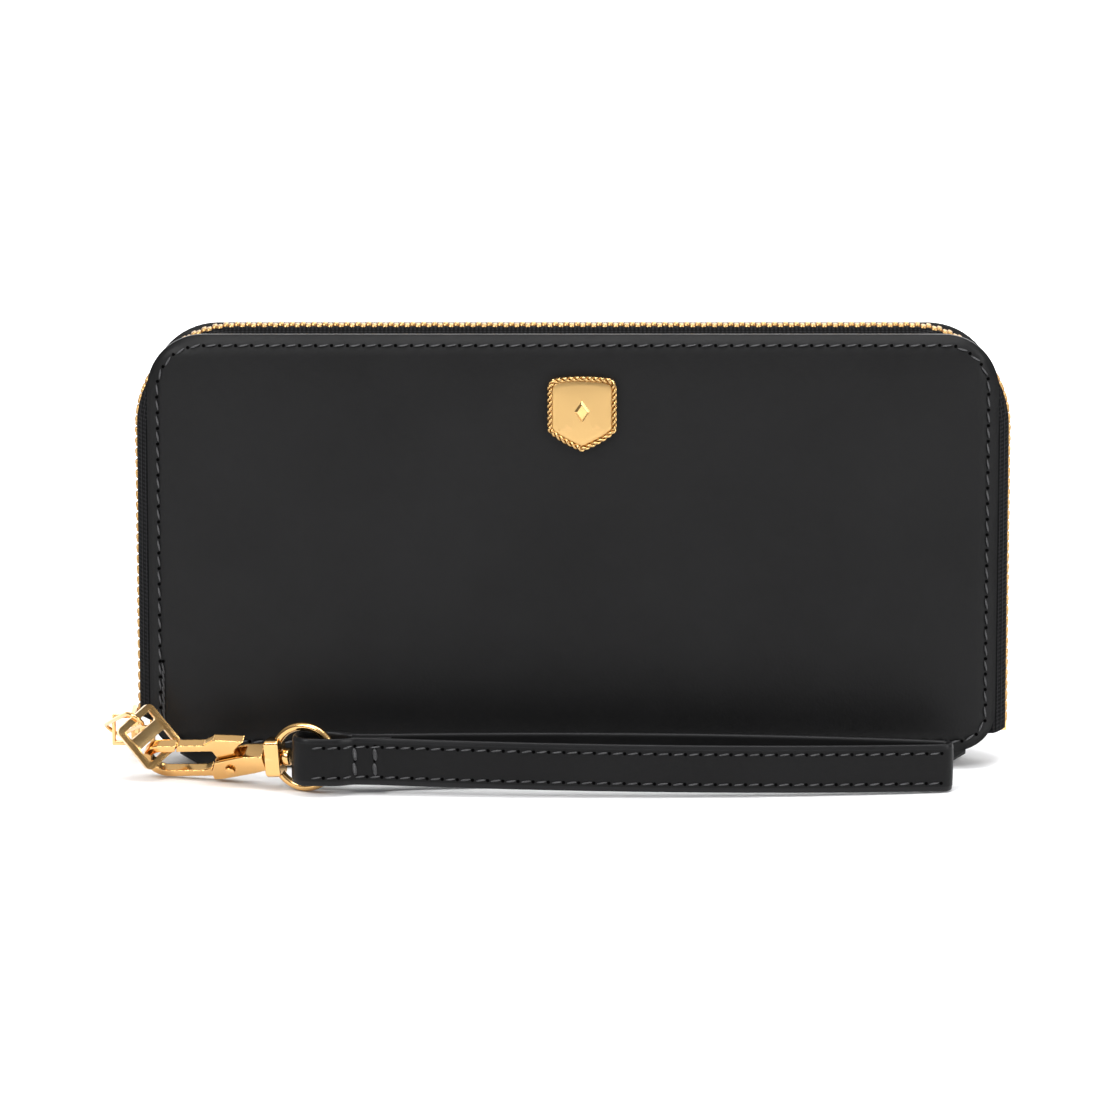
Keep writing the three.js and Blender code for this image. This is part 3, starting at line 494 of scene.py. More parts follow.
def tube(name: str, runs: Iterable[Sequence[Vector]], radius: float, closed: bool,
         sides: int = 2) -> bpy.types.Object:
    """Makes round wire along lines of points.

    Args:
        name: the piece's name.
        runs: the lines, in millimetres.
        radius: the wire's radius in millimetres.
        closed: whether each line closes on itself.
        sides: the curve's bevel resolution.

    Returns:
        The wire as a mesh in metres.
    """
    curve = bpy.data.curves.new(name + "_line", "CURVE")
    curve.dimensions = "3D"
    curve.bevel_depth = radius * MM
    curve.bevel_resolution = sides
    curve.use_fill_caps = not closed
    for run in runs:
        spline = curve.splines.new("POLY")
        spline.points.add(len(run) - 1)
        for point, place in zip(spline.points, run):
            point.co = (*(Vector(place) * MM), 1)
        spline.use_cyclic_u = closed
    drawn = bpy.data.objects.new(name + "_line", curve)
    bpy.context.scene.collection.objects.link(drawn)
    bpy.context.view_layer.update()
    mesh = bpy.data.meshes.new_from_object(drawn.evaluated_get(bpy.context.evaluated_depsgraph_get()))
    bpy.data.objects.remove(drawn)
    bm = bmesh.new()
    bm.from_mesh(mesh)
    bpy.data.meshes.remove(mesh)
    bmesh.ops.remove_doubles(bm, verts=bm.verts, dist=1e-7)
    bmesh.ops.scale(bm, vec=(1 / MM,) * 3, verts=bm.verts)
    return finish_mesh(name, bm)


def walk(points: Sequence[Vector], pitch: float, closed: bool = False,
         offset: float = 0.0) -> list[tuple[Vector, Vector]]:
    """Steps along a line of points at one pitch.

    Args:
        points: the line.
        pitch: the wanted step, stretched a little on a closed line to come out even.
        closed: whether the line closes on itself.
        offset: where the first step starts.

    Returns:
        Each step's place and direction.
    """
    line = [Vector(p) for p in points]
    if closed:
        line.append(line[0].copy())
    lengths = [(b - a).length for a, b in zip(line, line[1:])]
    total = sum(lengths)
    if closed:
        pitch = total / round(total / pitch)
    stations, index, passed = [], 0, 0.0
    reach = offset
    while reach <= total - (pitch * 0.5 if closed else 0.0):
        while index < len(lengths) - 1 and passed + lengths[index] < reach:
            passed += lengths[index]
            index += 1
        along = (line[index + 1] - line[index]).normalized()
        stations.append((line[index] + along * (reach - passed), along))
        reach += pitch
    return stations


def rounded_outline(half_width: float, bottom: float, top: float, radii: Point,
                    steps: int = 12) -> list[Vector]:
    """Draws a rounded rectangle in X and Z.

    Args:
        half_width: half its width.
        bottom: its lower edge.
        top: its upper edge.
        radii: the upper and the lower corners' radius.
        steps: how many straight pieces a corner has.

    Returns:
        Its points, anticlockwise from the lower right corner.
    """
    high, low = radii
    corners = (
        (half_width - low, bottom + low, low, -90), (half_width - high, top - high, high, 0),
        (high - half_width, top - high, high, 90), (low - half_width, bottom + low, low, 180))
    points = []
    for x, z, radius, start in corners:
        for step in range(steps + 1):
            angle = math.radians(start + 90 * step / steps)
            points.append(Vector((x + radius * math.cos(angle), 0, z + radius * math.sin(angle))))
    return points


def stamp(bm: bmesh.types.BMesh, pattern: bpy.types.Mesh, matrix: Matrix) -> None:
    """Adds one copy of a small pattern mesh at a place."""
    before = len(bm.verts)
    bm.from_mesh(pattern)
    bm.verts.ensure_lookup_table()
    bmesh.ops.transform(bm, matrix=matrix, verts=bm.verts[before:])


def as_pattern(name: str, bm: bmesh.types.BMesh) -> bpy.types.Mesh:
    """Turns a bmesh into a small mesh to stamp with, which the caller removes."""
    mesh = bpy.data.meshes.new(name)
    bm.to_mesh(mesh)
    bm.free()
    return mesh


def basis(place: Vector, along: Vector, out: Vector) -> Matrix:
    """Makes the matrix of a place whose X is along, and whose Z points out."""
    x = along.normalized()
    z = (out - x * out.dot(x)).normalized()
    y = z.cross(x)
    turn = Matrix((x, y, z)).transposed().to_4x4()
    return Matrix.Translation(place) @ turn


def only(kind: type, found: Iterable) -> list:
    """Keeps the vertices, edges or faces among what a bmesh operator returns."""
    return [item for item in found if isinstance(item, kind)]


def extend(bm: bmesh.types.BMesh, edges: list, step: Vector, count: int = 1) -> list:
    """Extrudes edges in equal steps.

    Args:
        bm: the mesh.
        edges: the edges to extrude.
        step: how far each step goes.
        count: how many steps are made.

    Returns:
        The last step's edges.
    """
    for _ in range(count):
        grown = bmesh.ops.extrude_edge_only(bm, edges=edges)["geom"]
        edges = only(bmesh.types.BMEdge, grown)
        bmesh.ops.translate(bm, vec=step, verts=only(bmesh.types.BMVert, grown))
    return edges


def open_profile(bm: bmesh.types.BMesh, points: Iterable[Sequence[float]]) -> list:
    """Draws a line through points and returns its edges."""
    verts = [bm.verts.new(point) for point in points]
    return [bm.edges.new(pair) for pair in zip(verts, verts[1:])]


def closed_ring(bm: bmesh.types.BMesh, points: Iterable[Sequence[float]]) -> list:
    """Draws a closed line through points and returns its edges."""
    ring = [bm.verts.new(point) for point in points]
    return [bm.edges.new(pair) for pair in zip(ring, ring[1:] + ring[:1])]


def rounded_sheet(half_width: float, bottom: float, top: float, radii: Point,
                  segments: int) -> bmesh.types.BMesh:
    """Draws one flat face in X and Z, with round corners.

    Args:
        half_width: half its width.
        bottom: its lower edge.
        top: its upper edge.
        radii: the upper and the lower corners' radius.
        segments: how many straight pieces a corner has.

    Returns:
        The mesh.
    """
    bm = bmesh.new()
    bm.faces.new([bm.verts.new(corner) for corner in (
        (half_width, 0, bottom), (half_width, 0, top), (-half_width, 0, top), (-half_width, 0, bottom))])
    for wanted, radius in ((top, radii[0]), (bottom, radii[1])):
        chosen = [v for v in bm.verts if abs(v.co.z - wanted) < NEAR]
        bmesh.ops.bevel(bm, geom=chosen, offset=radius, offset_type="OFFSET", segments=segments,
                        profile=0.5, affect="VERTICES", material=-1)
    return bm


def cut(bm: bmesh.types.BMesh, normal: Sequence[float], place: float) -> None:
    """Cuts every face where a plane crosses it."""
    bmesh.ops.bisect_plane(bm, geom=[*bm.verts, *bm.edges, *bm.faces], dist=NEAR,
                           plane_co=Vector(normal) * place, plane_no=normal)


def add_box(bm: bmesh.types.BMesh, size: Sequence[float], centre: Sequence[float]) -> list:
    """Adds a box and returns its vertices."""
    made = bmesh.ops.create_cube(bm, size=1.0)["verts"]
    bmesh.ops.scale(bm, vec=size, verts=made)
    bmesh.ops.translate(bm, vec=centre, verts=made)
    return made


@dataclass
class Sewing:
    """Thread stitches, and near-black discs of painted shade for the needle holes between them."""

    palette: Palette
    stitch: float = 2.7
    width: float = 0.44
    height: float = 0.32
    slant: float = 11.0
    hole: float = 0.4
    taper: float = 0.12
    overlap: float = 1.08
    hole_gap: float = 0.42
    hole_lift: float = 0.03

    def _pattern(self) -> bpy.types.Mesh:
        """Shapes one stitch, thick in the middle and sunk at its ends."""
        bm = bmesh.new()
        bmesh.ops.create_uvsphere(bm, u_segments=8, v_segments=7, radius=0.5,
                                  matrix=Matrix.Rotation(math.pi / 2, 4, "Y"))
        for vert in bm.verts:
            vert.co.x *= 1 - self.taper * abs(2 * vert.co.x)
        bmesh.ops.scale(bm, vec=(self.stitch * self.overlap, self.width, self.height * 2), verts=bm.verts)
        return as_pattern("stitch", bm)

    def sew(self, name: str, body: str,
            stations: Sequence[tuple[Vector, Vector, Vector]]) -> bpy.types.Object:
        """Sews a row.

        Args:
            name: the row's name.
            body: the body it rides on.
            stations: each stitch's place, direction and outward normal, in millimetres.

        Returns:
            The stitches, as one piece.
        """
        pattern = self._pattern()
        bm = bmesh.new()
        for place, along, out in stations:
            matrix = basis(place, along, out) @ Matrix.Rotation(math.radians(self.slant), 4, "Z")
            stamp(bm, pattern, matrix)
        threads = len(bm.faces)
        # Near-black discs of painted shade where the needle holes are.
        for place, along, out in stations:
            end = basis(place + along * (self.stitch * 0.5 + self.hole_gap), along, out)
            bmesh.ops.create_circle(bm, cap_ends=True, segments=8, radius=self.hole,
                                    matrix=end @ Matrix.Translation((0, 0, self.hole_lift)))
        bm.faces.ensure_lookup_table()
        for face in bm.faces[threads:]:
            face.material_index = 1
        bpy.data.meshes.remove(pattern)
        piece = finish_mesh(name, bm, recalculate=False)
        self.palette.dress(piece, Slot.THREAD, Slot.EDGE)
        piece.data.materials[1] = self.palette.special["needle_hole_shade"]
        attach(piece, body)
        LOG.info("%s has %d stitches", name, len(stations))
        return piece


# ---------------------------------------------------------------- covers and inside


@dataclass
class Cover:
    """One leather cover, with its painted edge, sewn groove and stitches."""

    palette: Palette
    side: Side
    half_width: float = 98.75
    bottom: float = 4.6
    top: float = 103.8
    radii: Point = (13.0, 9.5)
    edge_depth: float = 9.75
    crown: float = 1.65
    crown_reach: float = 9.0
    thickness: float = 1.25
    seam: float = 2.4
    groove: float = 0.22
    pitch: float = 3.7
    rings: tuple[float, ...] = (0.2, 0.45, 0.8, 1.4, 1.9, 2.15, 2.4, 2.65, 2.9, 3.5, 4.8, 6.8)
    cell: float = 5.0
    slack: float = 0.10
    slack_reach: float = 20.0
    turned_edge: Point = (0.42, 0.75)
    thread_lift: float = 0.1
    groove_width: float = 0.42
    tied_stitches: int = 7
    tied_aside: float = 0.75
    tied_from: float = 13.5

    def inward(self, x: float, z: float) -> float:
        """Gives how far a point lies inside the cover's outline."""
        middle = (self.top + self.bottom) / 2
        radius = self.radii[0] if z > middle else self.radii[1]
        across = abs(x) - (self.half_width - radius)
        up = abs(z - middle) - ((self.top - self.bottom) / 2 - radius)
        return radius - (math.hypot(max(across, 0), max(up, 0)) + min(max(across, up), 0))

    def face(self, x: float, z: float) -> float:
        """Gives the depth of the cover's face at a point, without its groove."""
        inset = max(self.inward(x, z), 0.0)
        swell = self.crown * (1 - math.exp(-inset / self.crown_reach))
        waves = math.sin(x / 31.0 + 0.8) * math.sin(z / 23.0 + 0.4)
        return self.edge_depth + swell + self.slack * waves * min(1, inset / self.slack_reach)

    def _worked_face(self, x: float, z: float) -> float:
        """Gives the face's depth with the turned edge and the sewn groove."""
        inset = max(self.inward(x, z), 0.0)
        depth, width = self.turned_edge
        edge = depth * max(0.0, 1 - inset / width) ** 2
        sunk = self.groove * math.exp(-((inset - self.seam) / self.groove_width) ** 2)
        return self.face(x, z) - edge - sunk

    def leather(self) -> bpy.types.Object:
        """Builds the leather.

        Returns:
            The cover, which replaces the frame's plain one.
        """
        bm = rounded_sheet(self.half_width, self.bottom, self.top, self.radii, 14)
        for inner, outer in zip(self.rings, (0.0, *self.rings)):
            centre = max(bm.faces, key=lambda f: f.calc_area())
            bmesh.ops.inset_region(bm, faces=[centre], thickness=inner - outer, depth=0,
                                   use_even_offset=True)
        for normal, low, high in (((1, 0, 0), -self.half_width, self.half_width),
                                  ((0, 0, 1), self.bottom, self.top)):
            count = int((high - low) / self.cell)
            for step in range(1, count):
                cut(bm, normal, low + (high - low) * step / count)
        sign = self.side.value
        for vert in bm.verts:
            vert.co.y = sign * self._worked_face(vert.co.x, vert.co.z)
        inner = bmesh.ops.extrude_face_region(bm, geom=list(bm.faces))
        moved = only(bmesh.types.BMVert, inner["geom"])
        bmesh.ops.translate(bm, vec=(0, -sign * self.thickness, 0), verts=moved)
        bmesh.ops.recalc_face_normals(bm, faces=bm.faces)
        for face in bm.faces:
            if abs(face.normal.y) < 0.45:
                face.material_index = 1
        piece = finish_mesh(self.side.title + "_leather", bm)
        self.palette.dress(piece, Slot.LEATHER, Slot.EDGE)
        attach(piece, self.side.body)
        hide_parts(self.side.title + "_cover")
        return piece

    def stitches(self) -> bpy.types.Object:
        """Sews the row round the cover, doubled low on the left where the thread is tied off."""
        inset = self.seam
        outline = rounded_outline(self.half_width - inset, self.bottom + inset, self.top - inset,
                                  (self.radii[0] - inset, self.radii[1] - inset))
        sign = self.side.value
        stations = []
        for place, along in walk(outline, self.pitch, closed=True):
            depth = self.face(place.x, place.z) - self.groove + self.thread_lift
            stations.append((Vector((place.x, sign * depth, place.z)), along, Vector((0, sign, 0))))
        for step in range(self.tied_stitches):
            x, z = -(self.half_width - inset) + self.tied_aside, self.tied_from + step * self.pitch * 0.5
            spot = Vector((x, sign * (self.face(x, z) + 0.02), z))
            stations.append((spot, Vector((0, 0, 1)), Vector((0, sign, 0))))
        return Sewing(self.palette).sew(self.side.title + "_cover_stitches", self.side.body, stations)

    def build(self) -> None:
        """Builds the cover and its stitches."""
        self.leather()
        self.stitches()
        LOG.info("%s cover, %.1f by %.1f mm", self.side.title, 2 * self.half_width, self.top - self.bottom)


@dataclass
class Leaf:
    """A thin sheet of lining leather, with a turned upper edge and sewn columns."""

    palette: Palette
    name: str
    body: str
    half_width: float
    bottom: float
    top: float
    faces: Point
    radii: Point = (2.0, 6.0)
    turned: float = 3.0
    thread_x: tuple[float, ...] = ()
    ripple: float = 0.05
    crease: Point = (0.25, 0.12)
    pitch: float = 3.2
    columns: int = 24
    rows: int = 8

    def build(self, *nodes: str) -> bpy.types.Object:
        """Builds the sheet.

        Args:
            nodes: the frame's nodes it stands for.

        Returns:
            The sheet.
        """
        near, far = self.faces
        bm = rounded_sheet(self.half_width, self.bottom, self.top, self.radii, 6)
        crease_width, crease_depth = self.crease
        cuts = [((1, 0, 0), self.half_width * (step / (self.columns / 2) - 1))
                for step in range(1, self.columns)]
        cuts += [((0, 0, 1), self.bottom + (self.top - self.bottom) * step / self.rows)
                 for step in range(1, self.rows)]
        cuts += [((0, 0, 1), self.top - self.turned), ((0, 0, 1), self.top - self.turned - crease_width)]
        for normal, place in cuts:
            cut(bm, normal, place)
        sign = 1 if near > far else -1
        grown = bmesh.ops.extrude_face_region(bm, geom=list(bm.faces))
        outer = set(only(bmesh.types.BMVert, grown["geom"]))
        for vert in bm.verts:
            x, z = vert.co.x, vert.co.z
            wave = self.ripple * math.sin(x / 13.0 + z / 17.0) * math.cos(z / 9.0 + x / 41.0)
            if vert in outer:
                sunk = 0.0 if z >= self.top - self.turned - 1e-3 else crease_depth
                vert.co.y = near - sign * (sunk + self.ripple) + wave
            else:
                vert.co.y = far + sign * self.ripple + wave
        piece = finish_mesh(self.name, bm)
        round_edges(piece, 0.1, 2, 50)
        self.palette.dress(piece, Slot.LINING)
        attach(piece, self.body)
        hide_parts(*nodes)
        self._thread(near, sign)
        return piece

    def _thread(self, near: float, sign: int) -> None:
        """Sews the turned edge and the columns."""
        crease_depth = self.crease[1]
        stations = []
        out = Vector((0, sign, 0))
        edge = [Vector((-self.half_width + 3, near, self.top - self.turned + 0.9)),
                Vector((self.half_width - 3, near, self.top - self.turned + 0.9))]
        stations += [(place, along, out) for place, along in walk(edge, self.pitch)]
        for x in self.thread_x:
            column = [Vector((x, near, self.bottom + 5)), Vector((x, near, self.top - 4))]
            stations += [(place - out * crease_depth, along, out)
                         for place, along in walk(column, self.pitch)]
        sewing = Sewing(self.palette, stitch=2.2, width=0.4, height=0.2, slant=0, hole=0.2)
        sewing.sew(self.name + "_stitches", self.body, stations)


@dataclass
class Inside:
    """The lining and the card pockets of one half."""

    palette: Palette
    side: Side
    row_tops: tuple[float, ...] = (63.0, 48.0, 33.0)
    half_width: float = 93.0
    bottom: float = 7.0
    panel_top: float = 85.4
    seam_x: float = 90.5
    first_row: float = 7.15
    row_step: float = 0.8
    leather: float = 0.4

    def build(self) -> None:
        """Builds the lining, the card panel and its rows, each a little further in."""
        sign, title, body = self.side.value, self.side.title, self.side.body
        lining = Leaf(self.palette, title + "_lining_leather", body, half_width=96.0, bottom=5.4, top=98.9,
                      faces=(sign * 8.3, sign * 8.6), radii=(17.0, 8.5), turned=2.0)
        lining.build(title + "_lining")
        panel = Leaf(self.palette, title + "_card_backing", body, self.half_width, self.bottom,
                     self.panel_top, faces=(sign * 7.9, sign * 8.2), thread_x=(-self.seam_x, self.seam_x))
        panel.build(title + "_card_panel")
        for row, top in enumerate(self.row_tops):
            inner = self.first_row - self.row_step * row
            leaf = Leaf(self.palette, f"{title}_card_pocket_{row + 1}", body, self.half_width, self.bottom,
                        top, faces=(sign * inner, sign * (inner + self.leather)),
                        thread_x=(-self.seam_x, 0.0, self.seam_x))
            leaf.build(f"{title}_card_row_{row + 1}")
        LOG.info("%s inside, %d card rows", title, len(self.row_tops))


@dataclass
class Divider:
    """The coin pocket between the compartments, with its small zip."""

    palette: Palette
    body: str = "divider"
    half_width: float = 88.0
    bottom: float = 6.0
    top: float = 84.0
    zip_half: float = 80.0
    zip_top: float = 87.5
    pitch: float = 2.0
    walls: Point = (1.28, 0.85)
    seam_x: float = 85.5
    tape: Point = (0.7, 4.2)
    tape_drop: float = 3.1
    tooth: tuple[float, float, float] = (1.0, 1.15, 1.7)
    teeth_drop: float = 0.88

    def build(self) -> None:
        """Builds both walls, the zip's tape and its teeth."""
        for title, sign in (("front", -1), ("back", 1)):
            wall = Leaf(self.palette, f"coin_pocket_{title}", self.body, self.half_width, self.bottom,
                        self.top, (sign * self.walls[0], sign * self.walls[1]), radii=(3.0, 5.0),
                        thread_x=(-self.seam_x, self.seam_x))
            wall.build(f"coin_{title}_wall")
        bm = bmesh.new()
        add_box(bm, (2 * self.zip_half, *self.tape), (0, 0, self.zip_top - self.tape_drop))
        tape = finish_mesh("coin_zip_band", bm)
        round_edges(tape, 0.2, 2)
        self.palette.dress(tape, Slot.TAPE)
        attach(tape, self.body)
        teeth = bmesh.new()
        pattern = tooth_pattern(self.tooth, 0.14)
        line = [Vector((-self.zip_half + 1, 0, 0)), Vector((self.zip_half - 1, 0, 0))]
        for place, _ in walk(line, self.pitch):
            stamp(teeth, pattern, Matrix.Translation((place.x, 0, self.zip_top - self.teeth_drop)))
        bpy.data.meshes.remove(pattern)
        row = finish_mesh("coin_zip_row", teeth, recalculate=False)
        self.palette.dress(row, Slot.GOLD)
        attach(row, self.body)
        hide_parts("coin_zip")
        softened("coin_slider", "coin_runner", self.palette, 0.45)
        softened("coin_pull", "coin_tag", self.palette, 0.3)
        LOG.info("divider with a zip of %d teeth", int(2 * self.zip_half / self.pitch))


# ---------------------------------------------------------------- main zip and spine


def tooth_pattern(size: tuple[float, float, float], soft: float) -> bpy.types.Mesh:
    """Shapes one tooth.

    Args:
        size: its length along the chain, its width across and its height.
        soft: how far its edges are rounded.

    Returns:
        The tooth's mesh, which the caller removes.
    """
    bm = bmesh.new()
    bmesh.ops.create_cube(bm, size=1.0)
    bmesh.ops.scale(bm, vec=size, verts=bm.verts)
    bmesh.ops.bevel(bm, geom=list(bm.edges), offset=soft, offset_type="OFFSET", segments=1,
                    profile=0.5, affect="EDGES", material=-1)
    return as_pattern("tooth", bm)


@dataclass
class ZipHalf:
    """One half of the main zip: its woven tape, sewn cord and teeth."""

    palette: Palette
    side: Side
    half_width: float = 102.05
    top: float = 104.8
    radius: float = 24.0
    left_end: float = 13.1
    right_end: float = 10.0
    pitch: float = 2.55
    tooth: tuple[float, float, float] = (1.2, 2.35, 2.2)
    reach: float = 2.3
    slit: float = 0.35
    interlock: float = 0.45
    slit_below: float = 80.0
    cloth: float = 0.45
    tape_start: float = 1.4
    tooth_soft: float = 0.22
    first_tooth: float = 0.4
    side_steps: int = 22
    top_steps: int = 50
    corner_steps: int = 16
    waves: tuple[float, float, float] = (0.07, 2.3, 2.9)
    waves_between: Point = (3.4, 8.0)
    fold: tuple[Point, ...] = (
        (0.45, 1.1), (0.6, 0.6), (1.6, 0.5), (2.6, 0.55), (3.3, 0.9), (4.4, 1.25), (5.6, 1.9),
        (7.2, 2.75), (8.2, 3.6), (8.45, 4.8))

    def line(self, inset: float, steps: int = 16) -> list[Vector]:
        """Draws the zip's line, some way within the teeth's outer face."""
        reach, high, bend = self.half_width - inset, self.top - inset, self.radius - inset
        points = [Vector((-reach, 0, self.left_end))]
        for x, start in ((bend - reach, 180), (reach - bend, 90)):
            for step in range(steps + 1):
                angle = math.radians(start - 90 * step / steps)
                points.append(Vector((x + bend * math.cos(angle), 0, high - bend + bend * math.sin(angle))))
        points.append(Vector((reach, 0, self.right_end)))
        return points

    def sweep(self, name: str, profile: Sequence[Point], start: float) -> bmesh.types.BMesh:
        """Sweeps an open profile along the zip.

        Args:
            name: the piece's name.
            profile: each point's distance from the middle and its inset.
            start: how far below the teeth's left end the sweep begins.

        Returns:
            The swept mesh.
        """
        sign = self.side.value
        bm = bmesh.new()
        base = self.left_end - start
        edges = open_profile(bm, [(-self.half_width + inset, sign * away, base) for away, inset in profile])
        bend_z = self.top - self.radius
        reach = self.half_width - self.radius

        def turn(edges: list, centre: Vector) -> list:
            """Spins edges a quarter turn over the corner and returns the last ones."""
            spun = bmesh.ops.spin(bm, geom=edges, cent=centre, axis=(0, 1, 0), angle=math.pi / 2,
                                  steps=self.corner_steps, use_merge=False)["geom_last"]
            return only(bmesh.types.BMEdge, spun)

        sides = self.side_steps
        edges = extend(bm, edges, Vector((0, 0, bend_z - base)) / sides, sides)
        edges = turn(edges, Vector((-reach, 0, bend_z)))
        edges = extend(bm, edges, Vector((2 * reach, 0, 0)) / self.top_steps, self.top_steps)
        edges = turn(edges, Vector((reach, 0, bend_z)))
        extend(bm, edges, Vector((0, 0, self.right_end - start - bend_z)) / sides, sides)
        LOG.info("%s swept along the zip", name)
        return bm

    def tape(self) -> bpy.types.Object:
        """Builds the woven tape, folded in a soft curve from the teeth to the cover."""
        bm = self.sweep(self.side.title + "_tape", self.fold, self.tape_start)
        height, wide, tall = self.waves
        near, far = self.waves_between
        for vert in bm.verts:
            wave = height * math.sin(vert.co.x / wide) * math.sin(vert.co.z / tall)
            vert.co.y += wave if near < abs(vert.co.y) < far else 0.0
        bmesh.ops.recalc_face_normals(bm, faces=bm.faces)
        piece = finish_mesh(self.side.title + "_woven_tape", bm, recalculate=False)
        wall = piece.modifiers.new("cloth thickness", "SOLIDIFY")
        wall.thickness = self.cloth * MM
        wall.offset = -1
        self.palette.dress(piece, Slot.TAPE)
        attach(piece, self.side.body)
        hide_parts(self.side.title + "_zip_tape")
        return piece

    def teeth(self) -> bpy.types.Object:
        """Builds the row of teeth, which reach between the other half's above the slider's run."""
        sign = self.side.value
        pattern = tooth_pattern(self.tooth, self.tooth_soft)
        bm = bmesh.new()
        offset = self.first_tooth + (0.0 if self.side is Side.FRONT else self.pitch / 2)
        for place, along in walk(self.line(self.tooth[2] / 2), self.pitch, offset=offset):
            out = Vector((0, 1, 0)).cross(along)
            out = out if out.dot(place - Vector((0, 0, 40))) > 0 else -out
            sewn = place.x < 0 and place.z < self.slit_below
            inner = self.slit if sewn else -self.interlock
            middle = sign * (inner + self.reach) / 2
            width = (self.reach - inner) / self.tooth[1]
            matrix = basis(Vector((place.x, middle, place.z)), along, out)
            stamp(bm, pattern, matrix @ Matrix.Diagonal((1, width, 1, 1)))
        bpy.data.meshes.remove(pattern)
        piece = finish_mesh(self.side.title + "_teeth", bm, recalculate=False)
        # The teeth wear the darkened copy of the plating, painted shade against the glare on their tops.
        self.palette.dress(piece, Slot.GOLD, special=self.palette.shaded_tooth_gold)
        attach(piece, self.side.body)
        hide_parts(self.side.title + "_zip_teeth")
        return piece

    def build(self) -> None:
        """Builds the tape and the teeth."""
        self.tape()
        self.teeth()


@dataclass
class Spine:
    """The leather spine that the wallet stands on and that the back half turns about."""

    palette: Palette
    half_length: float = 92.0
    leather: float = 0.9
    steps: int = 46
    end_reach: float = 8.0
    end_rise: float = 3.2
    foot: float = 6.0
    section: tuple[Point, ...] = (
        (-8.35, 8.5), (-8.45, 5.5), (-8.75, 3.2), (-8.5, 1.4), (-7.4, 0.25), (-6.0, 0.0), (-3.0, 0.0),
        (0.0, 0.0), (3.0, 0.0), (6.0, 0.0), (7.4, 0.25), (8.5, 1.4), (8.75, 3.2), (8.45, 5.5), (8.35, 8.5))

    def build(self) -> bpy.types.Object:
        """Builds the strip.

        Returns:
            The strip.
        """
        bm = bmesh.new()
        edges = open_profile(bm, [(-self.half_length, y, z + 0.02) for y, z in self.section])
        extend(bm, edges, Vector((2 * self.half_length / self.steps, 0, 0)), self.steps)
        for vert in bm.verts:
            close = max(0.0, abs(vert.co.x) - (self.half_length - self.end_reach)) / self.end_reach
            vert.co.z += self.end_rise * close ** 2 * (1 if vert.co.z < self.foot else 0)
        bmesh.ops.recalc_face_normals(bm, faces=bm.faces)
        if sum(f.normal.z for f in bm.faces if f.calc_center_median().z < 0.2) > 0:
            bmesh.ops.reverse_faces(bm, faces=bm.faces)
        bmesh.ops.solidify(bm, geom=list(bm.faces), thickness=self.leather)
        piece = finish_mesh("spine_leather", bm)
        lift = min(v.co.z for v in piece.data.vertices)
        for vert in piece.data.vertices:
            vert.co.z -= min(lift, 0.0)
        self.palette.dress(piece, Slot.LEATHER)
        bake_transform(piece)
        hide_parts("spine")
        LOG.info("spine, %.0f mm long", 2 * self.half_length)
        return piece


# ---------------------------------------------------------------- badge


